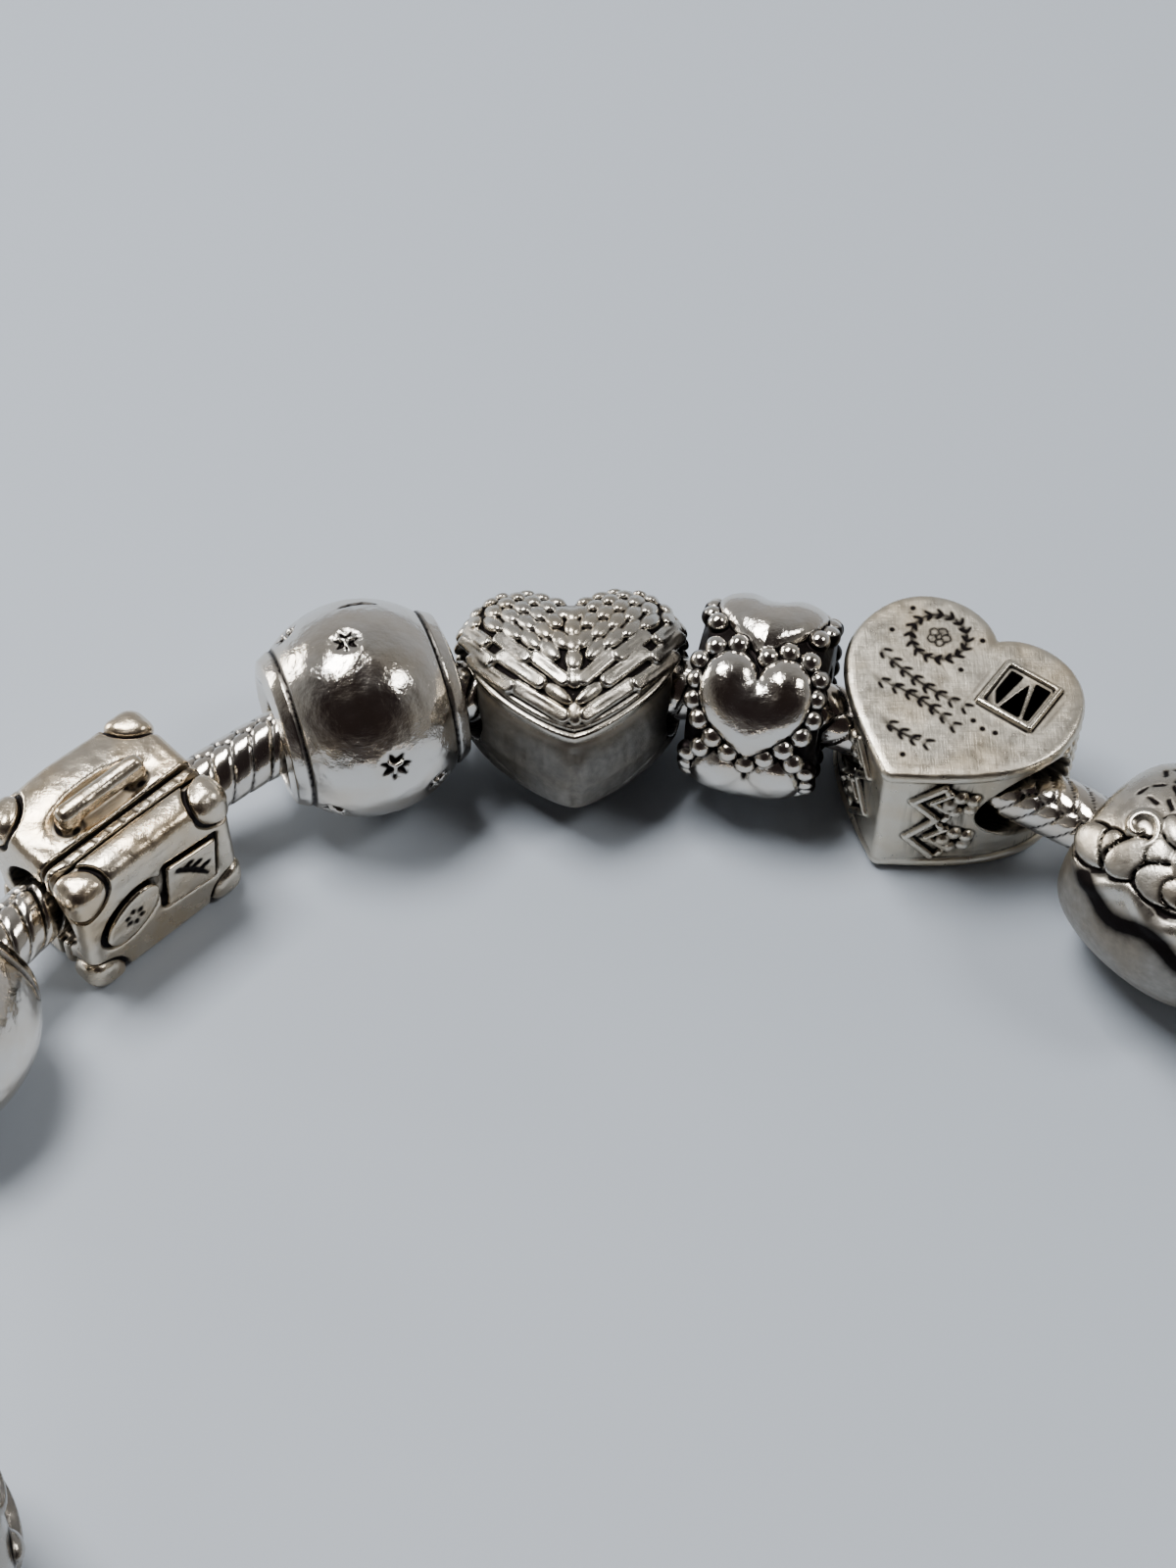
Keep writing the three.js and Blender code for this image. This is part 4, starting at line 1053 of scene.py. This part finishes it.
# ---- chain
def snake_chain():
    end = LOOP / 2 - SOCKET_FLOOR - SEAT_GAP
    pitch, R, around = 1.08, CHAIN_D / 2, 64
    fine, coarse = 0.1, 0.8
    sunk, bulge, seam, seam_half = 0.23, 0.12, 0.13, 0.09
    hidden = [(s - n / 2 + 0.5, s + n / 2 - 0.5) for s, _, _, n in CHARMS.values()]
    s, rows = -end, []
    while s < end:
        rows.append(s)
        deep = any(a + 0.5 < s < b - 0.5 for a, b in hidden)
        s += coarse if deep else fine
    rows = np.array(rows + [end])
    theta = np.arange(around) * tau / around
    S, A = np.meshgrid(rows, theta, indexing="ij")
    V = A * R
    # Two rows of slanted plates; the nearest and the second nearest plate give seam and crown.
    near, second = np.full(S.shape, 9.0), np.full(S.shape, 9.0)
    k0 = np.round(S / pitch)
    for half_row in (0, 1):
        v0 = pi * R * half_row
        for dk in (-3, -2, -1, 0, 1, 2, 3):
            centre = (k0 + dk + 0.5 * half_row) * pitch
            for wrap in (-1, 0, 1):
                va = v0 + 0.42 + wrap * tau * R
                vb = va + pi * R - 0.84
                # The plates slant more on the right.
                lean = (0.85 + np.clip((centre - 9) / 5, 0, 1)) * (1 if half_row else -1)
                sa, sb = centre - lean, centre + lean
                ds, dv = sb - sa, vb - va
                t = np.clip(((S - sa) * ds + (V - va) * dv) / (ds * ds + dv * dv), 0, 1)
                d = np.sqrt((S - sa - t * ds) ** 2 + (V - va - t * dv) ** 2)
                second = np.minimum(second, np.maximum(near, d))
                near = np.minimum(near, d)
    gap = second - near
    crown = np.clip(1 - (near / (0.56 * pitch)) ** 4, 0, 1) ** 0.5
    radius = R - sunk + bulge * crown + seam * (1 - np.exp(-gap / seam_half))
    deep = np.array([[any(a + 0.6 < v < b - 0.6 for a, b in hidden)] for v in rows])
    radius = np.where(deep, R - 0.1, radius)
    patina_and_shade = np.clip(1.1 - gap / seam, 0, 1)
    h = heading(rows)
    mid = route(rows)
    tangent = np.gradient(mid, rows, axis=0)
    tangent /= np.linalg.norm(tangent, axis=1, keepdims=True)
    side = np.stack([np.sin(h), -np.cos(h), 0 * h], -1)
    up = np.cross(side, tangent)
    # The joint between the plates' two rows winds a little from the far side to the near side.
    A = A + np.radians(-8 - 28 * np.tanh((S - 4) / 10))
    ray = np.cos(A)[..., None] * up[:, None] - np.sin(A)[..., None] * side[:, None]
    verts = mid[:, None] + radius[..., None] * ray
    n = len(rows)
    i, j = np.meshgrid(np.arange(n - 1), np.arange(around), indexing="ij")
    a, b = i * around + j, i * around + (j + 1) % around
    quads = np.stack([a, a + around, b + around, b], -1).reshape(-1, 4)
    flat = verts.reshape(-1, 3)
    caps = [list(range(around))[::-1], [(n - 1) * around + k for k in range(around)]]
    data = bpy.data.meshes.new("snake_chain_skin")
    data.from_pydata(((flat + SHIFT) * MM).tolist(), [], quads.tolist() + caps)
    finish(data, patina_and_shade.ravel(), np.clip(crown * 2 - 1.3, 0, 1).ravel())
    dress(add_object("snake_chain_skin", data), "snake_chain", CHAIN)


# ---- camera, table, light
def camera():
    data = bpy.data.cameras.new("camera")
    data.sensor_fit = "AUTO"
    data.sensor_width, data.lens = 36, 63
    data.clip_start = 0.005
    eye = add_object("camera", data)
    eye.location = np.array((-0.8309, -50.986, 111.30)) * MM
    eye.rotation_euler = (radians(35), 0, 0)
    bpy.context.scene.camera = eye


def table():
    data = bpy.data.meshes.new("table")
    data.from_pydata([(-2, -2, 0), (2, -2, 0), (2, 2, 0), (-2, 2, 0)], [], [(0, 1, 2, 3)])
    floor = add_object("table", data)
    material = bpy.data.materials.new("table")
    material.use_nodes = True
    nodes, links = material.node_tree.nodes, material.node_tree.links
    shader = nodes["Principled BSDF"]
    shader.inputs["Roughness"].default_value = 0.55
    tex = nodes.new("ShaderNodeTexNoise")
    tex.inputs["Scale"].default_value = 9
    ramp = nodes.new("ShaderNodeValToRGB")
    fill_ramp(ramp, (0, (0.420, 0.472, 0.545)), (1, (0.460, 0.512, 0.585)))
    where = nodes.new("ShaderNodeTexCoord")
    links.new(where.outputs["Object"], tex.inputs["Vector"])
    links.new(tex.outputs[0], ramp.inputs[0])
    links.new(ramp.outputs[0], shader.inputs["Base Color"])
    data.materials.append(material)


def lamp(name, place, size, power, colour):
    data = bpy.data.lights.new(name, "AREA")
    data.shape, data.size, data.size_y = "RECTANGLE", size[0] * MM, size[1] * MM
    data.energy, data.color = power, colour
    light = add_object(name, data)
    light.location = np.array(place) * MM
    d = np.array((0.0, 10.0, 0.0)) - place
    light.rotation_euler = (atan2(hypot(d[0], d[1]), -d[2]), 0, atan2(d[1], d[0]) - pi / 2)


def world():
    sky = bpy.data.worlds.new("room")
    bpy.context.scene.world = sky
    sky.use_nodes = True
    nodes, links = sky.node_tree.nodes, sky.node_tree.links
    back = nodes["Background"]
    where = nodes.new("ShaderNodeTexCoord")
    dot = nodes.new("ShaderNodeVectorMath")
    dot.operation = "DOT_PRODUCT"
    # A dark side of the room, above and in front of the bracelet.
    d = np.array((0.03, -0.60, 0.80))
    dot.inputs[1].default_value = d / np.linalg.norm(d)
    half = nodes.new("ShaderNodeMath")
    half.operation = "MULTIPLY_ADD"
    half.inputs[1].default_value = half.inputs[2].default_value = 0.5
    ramp = nodes.new("ShaderNodeValToRGB")
    fill_ramp(ramp, (0.20, (0.48, 0.49, 0.51)), (0.50, (0.34, 0.34, 0.345)), (0.655, (0.25, 0.248, 0.242)),
              (0.76, (0.15, 0.145, 0.14)), (0.83, (0.075, 0.068, 0.066)), (0.93, (0.020, 0.015, 0.015)))
    links.new(where.outputs["Generated"], dot.inputs[0])
    links.new(dot.outputs["Value"], half.inputs[0])
    links.new(half.outputs[0], ramp.inputs[0])
    links.new(ramp.outputs[0], back.inputs["Color"])
    back.inputs["Strength"].default_value = 1.0


camera()
table()
world()
lamp("window", (-115, 115, 345), (190, 130), 1.75, (1.0, 0.99, 0.98))
lamp("side window", (242, 40, 316), (100, 100), 0.45, (1.0, 0.98, 0.95))
lamp("low window", (-330, 195, 95), (130, 110), 0.65, (1.0, 0.96, 0.90))
snake_chain()
for charm in (
    ("suitcase_charm", suitcase, WARM, "cast_silver", 86000),
    ("star_ball_charm", star_ball, POLISHED, "polished_silver", 70000),
    ("winged_heart_charm", winged_heart, CAST, "cast_silver", 122000),
    ("beaded_hearts_spacer", beaded_hearts, POLISHED, "polished_silver", 116000),
    ("heart_box_charm", heart_box, SATIN, "cast_silver", 146000),
    ("leaf_relief_charm", leaf_relief, CAST, "cast_silver", 100000),
    ("round_bead", round_bead, POLISHED, "polished_silver", 32000),
    ("petal_bead", petal_bead, DARK, "dark_silver", 64000),
    ("dotted_spacer", dotted_spacer, DARK, "dark_silver", 30000),
    ("barrel_clasp", barrel_clasp, POLISHED, "polished_silver", 20000),
):
    place_charm(*charm)

bpy.context.view_layer.update()
